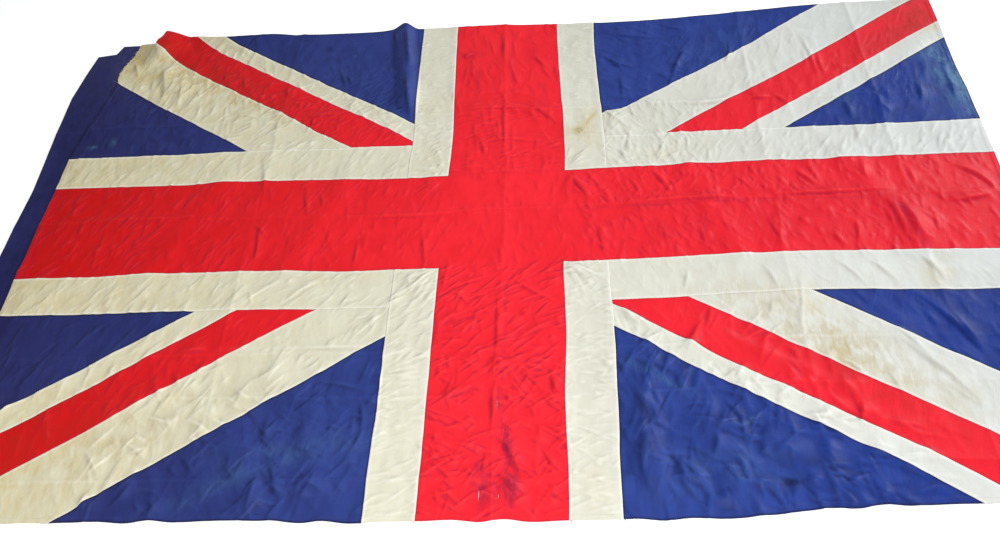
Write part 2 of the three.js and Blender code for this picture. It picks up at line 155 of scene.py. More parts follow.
# Single creases: from and to in units, then width, height and sideways bow in mm.
LINES = (
    ((-6.2, 15.2), (-5.6, 10.6), 7, 9, 6), ((-5.7, 11.2), (-5.15, 6.7), 6, 6, -4),
    ((-6.9, 14.8), (-6.3, 12.6), 6, 3, 4), ((-12.1, 0.3), (-12.0, -2.9), 6, 3.4, 4),
    ((-12.6, 0.2), (-11.5, -0.9), 5, 2.2, 3), ((-13.1, 5.2), (-12.2, 1.0), 6, 2, 6),
    ((-10.2, 2.6), (-9.6, 0.2), 5, 2.6, -5), ((-9.5, 2.2), (-9.1, 0.9), 4, 2, 4),
    ((-7.0, -0.8), (-7.1, -2.9), 5, 2.6, 0), ((-3.9, -0.6), (-3.6, -2.9), 6, 3, 3),
    ((-16.8, 0.9), (-18.6, -1.6), 6, 2.4, 5), ((-15.6, 2.6), (-16.6, 0.6), 5, 2.2, -4),
    ((-19.0, 2.4), (-20.6, -0.4), 6, 2.4, 5), ((-20.1, 0.2), (-20.4, -2.6), 6, 2.4, 4),
    ((-14.3, -1.2), (-14.6, -2.8), 5, 2.2, 0), ((-9.9, 11.9), (-9.0, 9.4), 6, 3, 4),
    ((-9.3, 11.2), (-8.7, 9.9), 5, 2.2, 0), ((-12.2, 12.4), (-11.6, 10.6), 5, 2, 0),
    ((-22.8, 13.2), (-21.9, 11.4), 9, 4, 6), ((-21.9, 14.6), (-20.9, 12.6), 8, 3.2, 6),
    ((-20.9, 12.9), (-19.9, 8.9), 9, 3.4, 14), ((-19.3, 11.9), (-18.9, 8.6), 8, 2.6, 10),
    ((-17.6, 10.9), (-18.6, 8.2), 7, 2.4, 5), ((-15.4, 8.1), (-13.6, 7.6), 6, 2.2, 6),
    ((-11.6, 7.7), (-8.6, 7.9), 6, 2.6, -4), ((-12.9, 9.4), (-11.4, 10.2), 5, 2, 0),
    ((-10.4, 8.3), (-9.2, 9.4), 5, 2.2, 0), ((-14.6, 10.9), (-13.4, 11.5), 5, 2, 0),
    ((-9.6, 6.4), (-8.2, 7.4), 5, 2, 2), ((-7.8, 6.0), (-6.7, 6.9), 5, 2, 2),
    ((-2.5, 11.9), (-1.8, 12.2), 6, 3.2, 3), ((-2.1, 12.1), (-1.5, 10.2), 5, 2, 0),
    ((-0.2, 14.4), (-0.1, 11.2), 8, 2.6, 4), ((-0.1, 9.0), (-0.1, 3.2), 5, 2.2, -2),
    ((-2.8, 7.6), (2.6, 7.2), 6, 2.8, 8), ((0.6, 8.2), (2.9, 5.9), 6, 2.4, 8),
    ((-2.4, 5.2), (2.2, 5.0), 6, 2, 6), ((1.2, 12.2), (2.5, 10.4), 6, 2.2, 5),
    ((5.4, 14.0), (8.9, 13.1), 8, 3, -8), ((5.2, 11.9), (6.6, 10.2), 6, 3, 5),
    ((5.8, 10.9), (7.2, 10.5), 6, 2.6, 3), ((6.2, 10.4), (6.2, 7.6), 7, 2.6, 5),
    ((10.0, 11.9), (9.0, 9.3), 7, 4, -8), ((9.1, 9.8), (8.7, 8.6), 6, 2.6, 0),
    ((12.4, 12.6), (11.8, 10.0), 5, 2.2, 4), ((16.2, 12.9), (16.5, 8.2), 6, 2.4, 6),
    ((16.9, 11.4), (17.0, 8.6), 5, 2, -4), ((9.1, 7.4), (12.6, 7.9), 8, 3.2, -18),
    ((12.6, 7.5), (14.0, 7.6), 7, 3.4, -4), ((13.8, 7.9), (14.8, 6.6), 5, 2.2, 3),
    ((17.6, 9.4), (18.4, 9.6), 6, 2.6, 4), ((21.4, 8.4), (21.2, 6.4), 9, 3.4, 5),
    ((17.4, 7.2), (17.6, 5.4), 9, 3.2, 5), ((23.0, 9.6), (22.9, 5.8), 8, 2.8, 6),
    ((19.0, 6.8), (19.6, 5.8), 8, 2.2, 4), ((8.4, 5.2), (7.4, 3.2), 5, 1.8, 4),
    ((3.0, 2.9), (4.3, 0.6), 7, 4, 5), ((3.9, 2.9), (5.2, 0.7), 5, 2, 4),
    ((7.2, 2.8), (8.1, 1.2), 7, 4, 6), ((7.9, 1.6), (8.2, 1.1), 5, 2.6, 0),
    ((14.0, 2.4), (15.2, 1.0), 6, 3, 5), ((17.4, 2.8), (17.5, 1.5), 5, 2.6, 0),
    ((19.4, 2.6), (19.6, 0.6), 6, 2.4, 4), ((21.3, 2.4), (23.2, 0.4), 9, 4.6, 14),
    ((20.4, 0.0), (23.2, 0.4), 9, 5, -6), ((5.2, 0.55), (12.4, 0.6), 6, 3.4, 3),
    ((11.6, 0.6), (19.4, 0.75), 7, 4, 4),
    ((-23.6, 0.5), (-14.0, 0.7), 5, 2, 0), ((-7.4, 0.4), (-2.4, 0.4), 5, 1.6, 0),
    ((6.0, 2.4), (6.8, 0.9), 5, 2, 3), ((11.2, 2.2), (12.2, 0.8), 5, 2.2, 3),
    ((4.4, -0.4), (4.9, -2.6), 5, 2.6, 3), ((9.2, -0.9), (9.6, -2.6), 6, 2.6, 3),
    ((12.4, -0.6), (13.0, -2.6), 5, 2.4, 4), ((16.4, -0.8), (16.2, -2.8), 6, 2.8, 5),
    ((18.5, 0.7), (19.3, -2.9), 20, 7, 4), ((18.1, 0.5), (18.6, -2.8), 6, 3, 3),
    ((20.0, -0.6), (19.9, -2.2), 5, 2.2, 0), ((18.6, -2.9), (19.6, -5.0), 7, 3.4, 6),
    ((14.8, -3.2), (16.2, -5.1), 7, 2.4, 8), ((16.2, -3.2), (17.6, -5.0), 6, 2.2, 8),
    ((11.8, -3.3), (12.4, -5.4), 7, 2.6, 8), ((8.6, -3.4), (8.2, -5.0), 6, 2.2, 4),
    ((13.4, -3.8), (12.7, -7.9), 8, 2.6, 10), ((18.2, -5.4), (20.2, -8.9), 8, 3.8, 8),
    ((19.2, -6.2), (20.0, -8.6), 6, 2.8, 5), ((16.4, -7.2), (19.6, -11.6), 9, 3, 12),
    ((16.2, -6.4), (18.2, -9.4), 8, 2.4, 8), ((15.9, -9.0), (16.4, -10.8), 7, 2.2, 4),
    ((5.6, -9.6), (6.3, -11.0), 10, 6, 5), ((6.2, -11.4), (6.0, -13.6), 11, 7, -6),
    ((8.9, -11.6), (8.6, -13.0), 8, 4.6, 5), ((9.4, -12.4), (9.9, -14.2), 8, 4.6, 4),
    ((12.0, -13.5), (14.2, -13.7), 8, 3.4, 4), ((14.8, -14.2), (14.4, -12.8), 6, 2.4, 3),
    ((10.0, -11.0), (10.9, -11.6), 6, 3, -4), ((7.4, -10.4), (9.0, -10.6), 6, 2.2, 3),
    ((5.3, -8.0), (8.0, -9.2), 9, 2.8, 6), ((8.9, -9.7), (10.4, -10.4), 8, 2.4, 4),
    ((12.2, -7.8), (12.6, -8.9), 7, 3, 4), ((10.2, -7.8), (12.0, -7.0), 7, 2.4, 5),
    ((0.2, -3.4), (2.9, -5.3), 6, 2.6, -6), ((0.6, -7.2), (2.6, -6.2), 6, 3, 4),
    ((-1.8, -6.9), (-0.9, -5.9), 8, 4.2, 3), ((-2.7, -6.4), (-1.9, -5.4), 6, 2.6, 2),
    ((-2.6, -10.4), (-0.4, -9.0), 7, 3.4, 4), ((-2.4, -4.2), (-1.2, -5.2), 5, 2.2, 3),
    ((-0.1, -4.0), (-0.1, -8.6), 5, 2.6, 3), ((-0.1, -9.2), (-0.1, -11.6), 6, 3.2, 2),
    ((0.8, -8.4), (2.4, -10.0), 6, 2.4, 4), ((0.2, -11.6), (1.2, -13.6), 6, 3, 4),
    ((-0.2, -12.8), (1.2, -14.6), 6, 2.6, 4), ((-2.6, -12.6), (-1.4, -13.9), 6, 2.6, 4),
    ((1.4, -10.6), (2.6, -9.8), 5, 2.2, 2), ((-2.4, -13.6), (-1.0, -14.8), 6, 2.6, 3),
    ((-12.4, -5.2), (-10.2, -3.4), 7, 2.4, 6), ((-10.2, -4.9), (-8.4, -3.4), 7, 2.6, 5),
    ((-5.0, -4.8), (-3.3, -3.5), 6, 2.2, 4), ((-11.9, -3.9), (-11.6, -5.1), 5, 1.8, 2),
    ((-16.6, -3.2), (-18.0, -5.0), 7, 2.2, 6), ((-21.6, -3.3), (-22.4, -5.0), 7, 2.2, 4),
    ((-17.6, -11.8), (-16.2, -13.6), 9, 3.2, 6), ((-15.9, -11.6), (-14.4, -12.6), 7, 2, 3),
    ((-20.2, -6.6), (-21.9, -9.6), 8, 3.2, 6), ((-16.6, -5.4), (-18.2, -7.9), 8, 3, 5),
    ((-18.4, -5.3), (-20.0, -7.6), 8, 2.8, 5), ((-22.4, -5.4), (-22.9, -7.6), 8, 3, 4),
    ((-5.8, -9.8), (-5.5, -11.6), 8, 5, 4), ((-5.4, -11.0), (-5.9, -12.4), 7, 3.4, 3),
    ((-10.1, -11.0), (-9.3, -11.8), 7, 3.6, 3), ((-9.6, -13.0), (-9.9, -14.9), 8, 4.2, 5),
    ((-9.4, -12.4), (-8.6, -14.2), 7, 3.6, 4), ((-14.6, -13.2), (-15.6, -14.8), 8, 3.4, 5),
    ((-13.2, -12.2), (-12.2, -13.4), 7, 2.8, 4), ((-11.8, -14.6), (-11.2, -13.4), 7, 2.8, 3),
    ((-8.0, -8.9), (-5.4, -9.5), 6, 2.8, 3), ((-9.8, -7.3), (-5.1, -7.3), 6, 2.2, 2),
    ((-14.5, -7.4), (-12.9, -7.2), 6, 2.4, 3), ((-12.3, -6.3), (-11.6, -5.4), 5, 1.8, 2),
)

# Bundles of small wrinkles: box in units, lean in degrees, how many, length, width and height in mm.
BUNDLES = (
    ((-24, -2.9, -13, 2.9), 66, 150, (25, 90), 5.0, 1.5),
    ((-13, -2.9, -3, 2.9), 78, 120, (20, 80), 4.5, 1.2),
    ((-3, -2.9, 4, 2.9), 100, 45, (20, 80), 4.5, 1.1),
    ((4, -2.9, 14, 2.9), 112, 170, (20, 75), 4.0, 1.4),
    ((14, -2.9, 23.7, 2.9), 106, 130, (20, 80), 4.2, 1.4),
    ((4, 0.6, 14, 2.9), 66, 60, (15, 50), 4.0, 1.1),
    ((-24, 3.0, -5, 5.2), 64, 110, (25, 80), 5.5, 1.0),
    ((5, 3.0, 23.7, 5.2), 70, 150, (25, 80), 5.0, 1.2),
    ((-24, -5.2, -12, -3.0), 62, 60, (30, 90), 6.0, 1.2),
    ((-12, -5.2, -3, -3.0), 42, 60, (25, 80), 5.5, 1.2),
    ((3, -5.2, 23.7, -3.0), 116, 90, (25, 90), 4.5, 0.5),
    ((-23.6, 5.2, -15, 11.4), 88, 90, (30, 110), 6.5, 1.5),
    ((-22.4, 8, -15, 14.5), 66, 80, (40, 130), 8.0, 1.6),
    ((-16, 5.2, -5.2, 11), 36, 75, (35, 110), 5.5, 1.5),
    ((-22, 9.5, -12, 15.5), 52, 40, (30, 90), 6.5, 0.7),
    ((-14, 5.2, -5.5, 9.5), 50, 60, (20, 80), 4.2, 1.5),
    ((-16, 7.2, -5.2, 14.6), 100, 90, (20, 90), 6.0, 1.2),
    ((-5, 5.2, -3, 14.6), 4, 60, (15, 50), 4.5, 0.8),
    ((-5, 2.9, -3, 6.5), 40, 40, (15, 45), 4.0, 1.0),
    ((-2.9, 2.9, 2.9, 9), 8, 70, (20, 80), 5.0, 1.2),
    ((-2.9, 3, 2.9, 14.6), 98, 70, (25, 120), 6.0, 1.7),
    ((3, 5.2, 5, 14.6), 176, 60, (15, 50), 4.5, 0.8),
    ((5.1, 7.2, 10, 14.4), 152, 45, (25, 90), 6.5, 1.3),
    ((5.1, 7.2, 17, 14.6), 78, 60, (30, 110), 6.0, 0.7),
    ((7, 6, 20, 14.6), 80, 90, (25, 110), 6.0, 0.9),
    ((5.1, 2.9, 10, 7.4), 118, 90, (20, 80), 4.0, 1.3),
    ((9, 5.2, 23.7, 13), 78, 100, (20, 90), 4.5, 0.7),
    ((14.4, 5.2, 23.7, 10.8), 88, 20, (50, 140), 9.0, 0.9),
    ((5.1, -10, 23, -5.2), 118, 120, (25, 100), 5.0, 0.8),
    ((15, -13, 23.5, -5.2), 126, 36, (50, 140), 8.0, 0.8),
    ((5.1, -15, 15, -8.5), 112, 70, (30, 110), 9.0, 3.2),
    ((6, -15, 17, -11), 166, 45, (30, 100), 8.0, 2.8),
    ((5.1, -15, 12, -6), 62, 45, (30, 110), 9.0, 3.2),
    ((-2.9, -9, 2.9, -2.9), 30, 90, (20, 90), 4.5, 2.0),
    ((-2.9, -15, 2.9, -8), 146, 60, (25, 90), 5.0, 2.4),
    ((-2.9, -15, 2.9, -8), 28, 55, (25, 90), 5.0, 2.2),
    ((-2.9, -15, 2.9, -3), 88, 50, (20, 80), 5.0, 1.8),
    ((-5, -8, -3, -3), 42, 30, (30, 90), 4.5, 1.2),
    ((-5, -15, -3, -7), 16, 55, (20, 80), 4.5, 1.2),
    ((3, -15, 5, -3), 14, 50, (20, 80), 4.5, 1.2),
    ((3, -15, 5, -3), 165, 40, (20, 60), 4.5, 1.5),
    ((-23.6, -10.5, -14, -5.2), 62, 60, (40, 120), 7.0, 1.5),
    ((-16, -8, -5, -5.2), 60, 60, (20, 60), 5.0, 0.9),
    ((-22, -15, -10, -8), 108, 60, (30, 110), 7.0, 1.1),
    ((-16, -13, -5, -6), 80, 60, (30, 110), 5.5, 0.5),
    ((-17, -15, -5.1, -8), 60, 75, (30, 110), 9.0, 2.8),
    ((-15, -15, -5.1, -9), 150, 45, (25, 90), 8.0, 2.4),
    ((-19.5, 10.6, -15, 13.6), 72, 18, (20, 60), 4.5, 2.2),
    ((-15, 8.2, -11, 10.8), 76, 16, (20, 60), 4.5, 2.2),
    ((-11, 6, -7, 8.4), 76, 14, (20, 60), 4.5, 2.0),
)
LINE_HEIGHT = 1.4  # the single creases are drawn this much taller than listed
LEAN_SPREAD = 14  # degrees either way
WRINKLE_COUNT = 1.7  # all bundles are fuller than listed, and their wrinkles finer and taller
WRINKLE_WIDTH = 0.85
WRINKLE_HEIGHT = 1.1
WIDTH_RANGE = (0.6, 1.5)  # one wrinkle's width and height, for its bundle's
HEIGHT_RANGE = (0.3, 1.3)
BOW_SPREAD = 0.1  # sideways bow, for half its length
GENTLE = 1.7  # widths of the gentle and the steep side of a wrinkle, for its width
STEEP = 0.6
CREASE_POWER = 1.25  # 1 has a knife edge, 2 is round
FACING_AWAY = 0.68  # share of the wrinkles whose steep side is away from the window
SPRINGS = (  # fans of creases that run out from a corner: point, first and last direction, how many
    ((3.0, 2.9), (-85, -30), 10), ((3.0, 3.0), (20, 75), 12), ((-3.0, 2.9), (205, 255), 8),
    ((3.0, -2.9), (-70, -25), 14), ((-3.0, -2.9), (200, 250), 16), ((-3.0, 3.0), (110, 160), 8),
    ((5.1, -5.2), (-80, -35), 10), ((5.1, 5.2), (35, 85), 10), ((-5.1, -5.2), (190, 240), 10),
)
SPRING_START = (3.6, 18)  # how far from the corner they begin, mm
SPRING_LENGTH = (35, 110)
SPRING_SHAPE = (4.5, 1.6)  # width and height, mm
SPRING_HEIGHTS = (0.5, 1.2)
SPRING_BOW = 4

SWELL = ((190, 2.4), (80, 1.1), (34, 0.5))  # slow unevenness: spacing and height, mm
DRIFT_NOISE = ((150, 2.6), (45, 0.9))  # sideways wander of seams: spacing and reach, mm
SCALLOP = (2.2, 26)  # the near hem's scallops, depth and spacing, mm
SCALLOP_REACH = 25
SCALLOP_UNEVEN = (1.7, 0.9)
PUCKER = (0.45, 11)  # puckers along seams: height and reach, mm
# Slits in the lower red arm: place along u, near and far end, half width in mm.
SLITS = ((0.1, -10.45, -10.05, 0.35), (-0.56, -14.4, -13.95, 0.5), (0.22, -14.35, -14.1, 0.4))

SEEDS = {  # of the random draws; the ones of a table's rows are counted on from here
    "crease strength": 11, "crease wander": 12, "swell": 20, "drift along u": 30,
    "drift along v": 40, "loose threads": 77, "bundles": 100, "springs": 200,
}
GRID_STEP = 2.0  # mm
GRID_U = np.arange(-27, 25, GRID_STEP / UNIT)
GRID_V = np.arange(-16.5, 18, GRID_STEP / UNIT)


def cross_centre():
    """The middle of the cross in the frame, in metres, from the band's end and the near hem."""
    half_gap = 0.2
    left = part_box("red_band")[0].x / MM - HOIST_END * UNIT - half_gap
    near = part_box("blue_edge_bl")[0].y / MM - BOTTOM_HEM * UNIT - half_gap
    return Vector((left * MM, near * MM, 0))


CENTRE = cross_centre()

# ---- camera ----

EYE = Vector((0.1192, -0.8927, 1.056))  # in flag heights, from the middle of the cross
LOOKS_AT = Vector((-0.0008, -0.1112, 0))
LENS_MM = 30.66
SENSOR_MM = 36
ROLL = math.radians(-8.737)


def add_camera():
    eye = CENTRE + EYE * FLAG_HEIGHT * MM
    forward = (CENTRE + LOOKS_AT * FLAG_HEIGHT * MM - eye).normalized()
    level = forward.cross(Vector((0, 0, 1))).normalized()
    rise = level.cross(forward)
    right = level * math.cos(ROLL) + rise * math.sin(ROLL)
    turn = Matrix((right, right.cross(forward), -forward)).transposed()
    lens = bpy.data.cameras.new("camera")
    lens.lens = LENS_MM
    lens.sensor_width = SENSOR_MM
    camera = bpy.data.objects.new("camera", lens)
    camera.matrix_world = Matrix.Translation(eye) @ turn.to_4x4()
    bpy.context.scene.collection.objects.link(camera)
    bpy.context.scene.camera = camera


add_camera()

# ---- terrain: the height of the cloth over the whole plan ----


def fade(t):
    """From 1 to 0 as t goes from 0 to 1."""
    return 0.5 + 0.5 * np.cos(np.pi * np.clip(t, 0, 1))


def soft_noise(seed, spacing):
    """Smooth noise from 0 to 1 over the grid, with that many mm between its random values."""
    rng = np.random.default_rng(seed)
    rows = (GRID_V - GRID_V[0]) * UNIT / spacing
    columns = (GRID_U - GRID_U[0]) * UNIT / spacing
    lattice = rng.random((int(rows[-1]) + 3, int(columns[-1]) + 3))
    row, column = rows.astype(int), columns.astype(int)
    across = 1 - fade(columns - column)
    along = (1 - fade(rows - row))[:, None]
    low = lattice[row][:, column] * (1 - across) + lattice[row][:, column + 1] * across
    high = lattice[row + 1][:, column] * (1 - across) + lattice[row + 1][:, column + 1] * across
    return low * (1 - along) + high * along


def window(low, high, grid):
    return slice(*np.searchsorted(grid, (low, high)))


def add_stroke(terrain, start, end, width, height, bow=0.0):
    """Adds one sharp crease from start to end, steep on its left side, bowed sideways by bow mm."""
    start, end = np.array(start, float), np.array(end, float)
    middle = (start + end) / 2
    half = np.hypot(*(end - start)) / 2
    direction = (end - start) / (2 * half)
    margin = (4 * width * GENTLE + abs(bow)) / UNIT
    low, high = np.minimum(start, end) - margin, np.maximum(start, end) + margin
    columns, rows = window(low[0], high[0], GRID_U), window(low[1], high[1], GRID_V)
    du = GRID_U[columns][None, :] - middle[0]
    dv = GRID_V[rows][:, None] - middle[1]
    along = (du * direction[0] + dv * direction[1]) / half
    across = (dv * direction[0] - du * direction[1]) * UNIT - bow * (1 - along ** 2)
    side = width * np.where(across > 0, STEEP, GENTLE)
    shape = np.exp(-(np.abs(across) / side) ** CREASE_POWER)
    terrain[rows, columns] += height * shape * fade(np.abs(along))


def add_bundle(terrain, seed, box, lean, count, lengths, width, height):
    """Adds small wrinkles that lean alike and start anywhere in a box."""
    rng = np.random.default_rng(seed)
    for _ in range(round(WRINKLE_COUNT * count)):
        middle = rng.uniform(box[:2], box[2:])
        angle = math.radians(lean + rng.normal(0, LEAN_SPREAD))
        half = rng.uniform(*lengths) / 2 / UNIT
        reach = half * np.array((math.cos(angle), math.sin(angle)))
        bow = rng.normal(0, BOW_SPREAD) * half * UNIT
        wide = WRINKLE_WIDTH * width * rng.uniform(*WIDTH_RANGE)
        tall = WRINKLE_HEIGHT * height * rng.uniform(*HEIGHT_RANGE)
        if rng.random() > FACING_AWAY:
            reach = -reach
        add_stroke(terrain, middle - reach, middle + reach, wide, tall, bow)


def add_spring(terrain, seed, point, directions, count):
    """Adds creases that run out from one corner of the cross."""
    rng = np.random.default_rng(seed)
    for _ in range(count):
        angle = math.radians(rng.uniform(*directions))
        heading = np.array((math.cos(angle), math.sin(angle)))
        first = np.array(point) + heading * rng.uniform(*SPRING_START) / UNIT
        last = first + heading * rng.uniform(*SPRING_LENGTH) / UNIT
        width, height = SPRING_SHAPE
        height = height * rng.uniform(*SPRING_HEIGHTS)
        add_stroke(terrain, first, last, width, height, rng.normal(0, SPRING_BOW))


def fold_heights():
    """The soft folds that the construction has, over the grid."""
    u, v = GRID_U[None, :], GRID_V[:, None]
    tallest = np.zeros((len(GRID_V), len(GRID_U)))
    for start, end, width, height in FOLDS:
        along = np.subtract(end, start)
        length = np.hypot(*along)
        du, dv = u - start[0], v - start[1]
        run = (du * along[0] + dv * along[1]) / length ** 2
        side = np.abs(du * along[1] - dv * along[0]) / length
        nearest_end = np.minimum(run, 1 - run)
        shape = fade(side / width) * fade(1 - nearest_end / FOLD_TAPER)
        tallest = np.maximum(tallest, height * np.where(nearest_end < 0, 0, shape))
    return tallest


def crease_heights():
    """Old fold lines: a low rise with a sharp line on it, stronger in places."""
    least, more, spacing = CREASE_STRENGTH
    strength = least + more * soft_noise(SEEDS["crease strength"], spacing)
    total = np.zeros((len(GRID_V), len(GRID_U)))
    base, base_width = CREASE_BASE
    line, line_width = CREASE_LINE
    reach, spacing = CREASE_WANDER
    wander = (soft_noise(SEEDS["crease wander"], spacing) - 0.5) * reach
    for grid, places in ((GRID_V[:, None], CREASES_ALONG), (GRID_U[None, :], CREASES_ACROSS)):
        for place_at in places:
            distance = np.abs((grid - place_at) * UNIT + wander)
            total = np.maximum(total, base * np.maximum(0, 1 - distance / base_width)
                               + line * strength * np.exp(-distance / line_width))
    return total


def make_terrain():
    """Heights of the whole cloth, and of its folds and swells alone, mm, over the grid."""
    smooth = np.maximum(fold_heights(), crease_heights())
    for k, (spacing, height) in enumerate(SWELL):
        smooth = smooth + height * soft_noise(SEEDS["swell"] + k, spacing)
    terrain = smooth.copy()
    for start, end, width, height, bow in LINES:
        # Drawn from end to start: one that is listed towards the near hem is steep on its left.
        add_stroke(terrain, end, start, width, LINE_HEIGHT * height, -bow)
    for k, bundle in enumerate(BUNDLES):
        add_bundle(terrain, SEEDS["bundles"] + k, *bundle)
    for k, spring in enumerate(SPRINGS):
        add_spring(terrain, SEEDS["springs"] + k, *spring)
    return terrain, smooth


def wander_field(seed):
    """How far seams and hems wander sideways, mm, over the grid."""
    total = np.zeros((len(GRID_V), len(GRID_U)))
    for k, (spacing, reach) in enumerate(DRIFT_NOISE):
        total += reach * (2 * soft_noise(seed + k, spacing) - 1)
    return total


def sharpness(terrain):
    """How far each point stands above (or, negative, below) the points around it, mm."""
    around = np.zeros_like(terrain)
    for rows, columns in ((2, 0), (-2, 0), (0, 2), (0, -2)):
        around += np.roll(terrain, (rows, columns), (0, 1)) / 4
    return terrain - around


TERRAIN, SMOOTH = make_terrain()
SHARPNESS = sharpness(TERRAIN)
WANDER_U = wander_field(SEEDS["drift along u"])
WANDER_V = wander_field(SEEDS["drift along v"])


def sample(field, u, v):
    """The field's value at points of the plan, from the four grid points around each."""
    column = np.clip((u - GRID_U[0]) * UNIT / GRID_STEP, 0, len(GRID_U) - 2 - TINY)
    row = np.clip((v - GRID_V[0]) * UNIT / GRID_STEP, 0, len(GRID_V) - 2 - TINY)
    i, j = row.astype(int), column.astype(int)
    p, q = row - i, column - j
    low = field[i, j] * (1 - q) + field[i, j + 1] * q
    high = field[i + 1, j] * (1 - q) + field[i + 1, j + 1] * q
    return low * (1 - p) + high * p


def place(u, v, z):
    """Where points of the plan come to lie in the frame, in metres."""
    drift = np.zeros((2, len(u)))
    for at, spread, shift in DRIFTS:
        share = np.exp(-(((u - at[0]) / spread[0]) ** 2 + ((v - at[1]) / spread[1]) ** 2) / 2)
        drift += np.outer(shift, share)
    depth, spacing = SCALLOP
    uneven, rate = SCALLOP_UNEVEN
    near_hem = fade((v - BOTTOM_HEM) * UNIT / SCALLOP_REACH)
    scallop = depth * near_hem * np.sin(u * UNIT / spacing + uneven * np.sin(u * rate))
    x = (u + drift[0]) * UNIT + sample(WANDER_U, u, v)
    y = (v + drift[1]) * UNIT + sample(WANDER_V, u, v) + scallop
    return np.stack([CENTRE.x + x * MM, CENTRE.y + y * MM, z * MM], 1)


def hoist_distance(u, v):
    (low_u, low_v), (high_u, high_v) = HOIST_SLANT
    lean = (high_u - low_u) / (high_v - low_v)
    return (u - HOIST_END - lean * np.maximum(0, v - low_v)) * UNIT


# ---- outlines and flat meshes ----


def limit(nu, nv, reach, kind):
    """Keeps the points with nu * u + nv * v <= reach. The kind says how that edge is made."""
    size = math.hypot(nu, nv)
    return {"nu": nu / size, "nv": nv / size, "reach": reach / size, "kind": kind}


def right_of(u, kind):
    return limit(-1, 0, -u, kind)


def left_of(u, kind):
    return limit(1, 0, u, kind)


def above(v, kind):
    return limit(0, -1, -v, kind)


def below(v, kind):
    return limit(0, 1, v, kind)


def right_of_line(line, kind):
    (low_u, low_v), (high_u, high_v) = line
    nu, nv = low_v - high_v, high_u - low_u
    return limit(nu, nv, nu * low_u + nv * low_v, kind)


def inward(edge, u, v):
    """Distance in from an edge's seam or hem line, mm, negative outside it."""
    return (edge["reach"] - edge["nu"] * u - edge["nv"] * v) * UNIT


def trim(outline, edge):
    allowance = LAP_WIDTH / UNIT if edge["kind"] == "under" else 0
    over = [edge["nu"] * u + edge["nv"] * v - edge["reach"] - allowance for u, v in outline]
    kept = []
    for k, (u, v) in enumerate(outline):
        after = (k + 1) % len(outline)
        if over[k] <= 0:
            kept.append((u, v))
        if over[k] * over[after] < 0:
            t = over[k] / (over[k] - over[after])
            kept.append((u + t * (outline[after][0] - u), v + t * (outline[after][1] - v)))
    return kept


def outline_within(limits):
    far = 100
    outline = [(-far, -far), (far, -far), (far, far), (-far, far)]
    for edge in limits:
        outline = trim(outline, edge)
    return [(round(u, 6), round(v, 6)) for u, v in outline]


def thinned(firm, loose, low, high):
    """Sorted stops from low to high: the firm ones, then the loose ones that keep clear."""
    kept = [low, high]
    for stops, clear in ((firm, FIRM_CLEAR * CLEAR), (loose, CLEAR)):
        for stop in stops:
            if low < stop < high and min(abs(stop - k) for k in kept) > clear / UNIT:
                kept.append(stop)
    return sorted(kept)


def steep_stops(outline):
    """Extra columns along an edge that runs nearly up the plan."""
    stops = []
    for k, (u, v) in enumerate(outline):
        next_u, next_v = outline[(k + 1) % len(outline)]
        if TINY < abs(next_u - u) < STEEP_LEAN * abs(next_v - v):
            stops.extend(np.arange(min(u, next_u), max(u, next_u), STEEP_STEP / UNIT))
    return stops


def spread_stops(step):
    return lambda low, high: list(np.arange(math.ceil(low / step), high / step) * step)


grid_stops = spread_stops(MESH_STEP / UNIT)
underside_stops = spread_stops(UNDERSIDE_STEP / UNIT)


def columns_for(outline, limits, slit):
    us = [u for u, _ in outline]
    firm = sorted(set(us))
    for edge in limits:
        if abs(edge["nv"]) < TINY:
            firm += [(edge["reach"] - d / UNIT) / edge["nu"] for d in STRIPS[edge["kind"]]]
    if slit:
        firm += [line[0] for line in SLITS]
    firm += steep_stops(outline)
    low, high = min(us), max(us)
    return thinned(firm, grid_stops(low, high), low, high)


def column_ends(outline, u):
    hits = []
    for k, (pu, pv) in enumerate(outline):
        qu, qv = outline[(k + 1) % len(outline)]
        if abs(pu - u) < TINY:
            hits.append(pv)
        if (pu - u) * (qu - u) < 0:
            hits.append(pv + (u - pu) / (qu - pu) * (qv - pv))
    return min(hits), max(hits)


def column_points(outline, limits, u):
    """Points up one column of the mesh, from the outline's near side to its far side."""
    low, high = column_ends(outline, u)
    if high - low < TINY:
        return [low]
    firm = []
    for edge in limits:
        if abs(edge["nv"]) > LEVEL_SHARE:
            for d in STRIPS[edge["kind"]]:
                firm.append((edge["reach"] - d / UNIT - edge["nu"] * u) / edge["nv"])
    return thinned(firm, grid_stops(low, high), low, high)


def sparse_points(outline, u):
    """The same column on the underside, with few points between its ends."""
    low, high = column_ends(outline, u)
    if high - low < TINY:
        return [low]
    strip = UNDERSIDE_STRIP / UNIT
    return thinned([low + strip, high - strip], underside_stops(low, high), low, high)


def zip_columns(left, right, faces):
    """Triangles between two neighbouring columns, each a list of (v, index)."""
    i = j = 0
    while i + 1 < len(left) or j + 1 < len(right):
        rise_left = abs(left[i + 1][0] - right[j][0]) if i + 1 < len(left) else math.inf
        rise_right = abs(right[j + 1][0] - left[i][0]) if j + 1 < len(right) else math.inf
        if rise_left < rise_right:
            faces.append((left[i][1], right[j][1], left[i + 1][1]))
            i += 1
        else:
            faces.append((left[i][1], right[j][1], right[j + 1][1]))
            j += 1


def join_columns(columns):
    """Plan points and triangles of columns of points, each a place along u with its v places."""
    points, faces, strips = [], [], []
    for u, places in columns:
        strips.append([(v, len(points) + k) for k, v in enumerate(places)])
        points.extend((u, v) for v in places)
    for left, right in zip(strips, strips[1:]):
        zip_columns(left, right, faces)
    return np.array(points), np.array(faces)


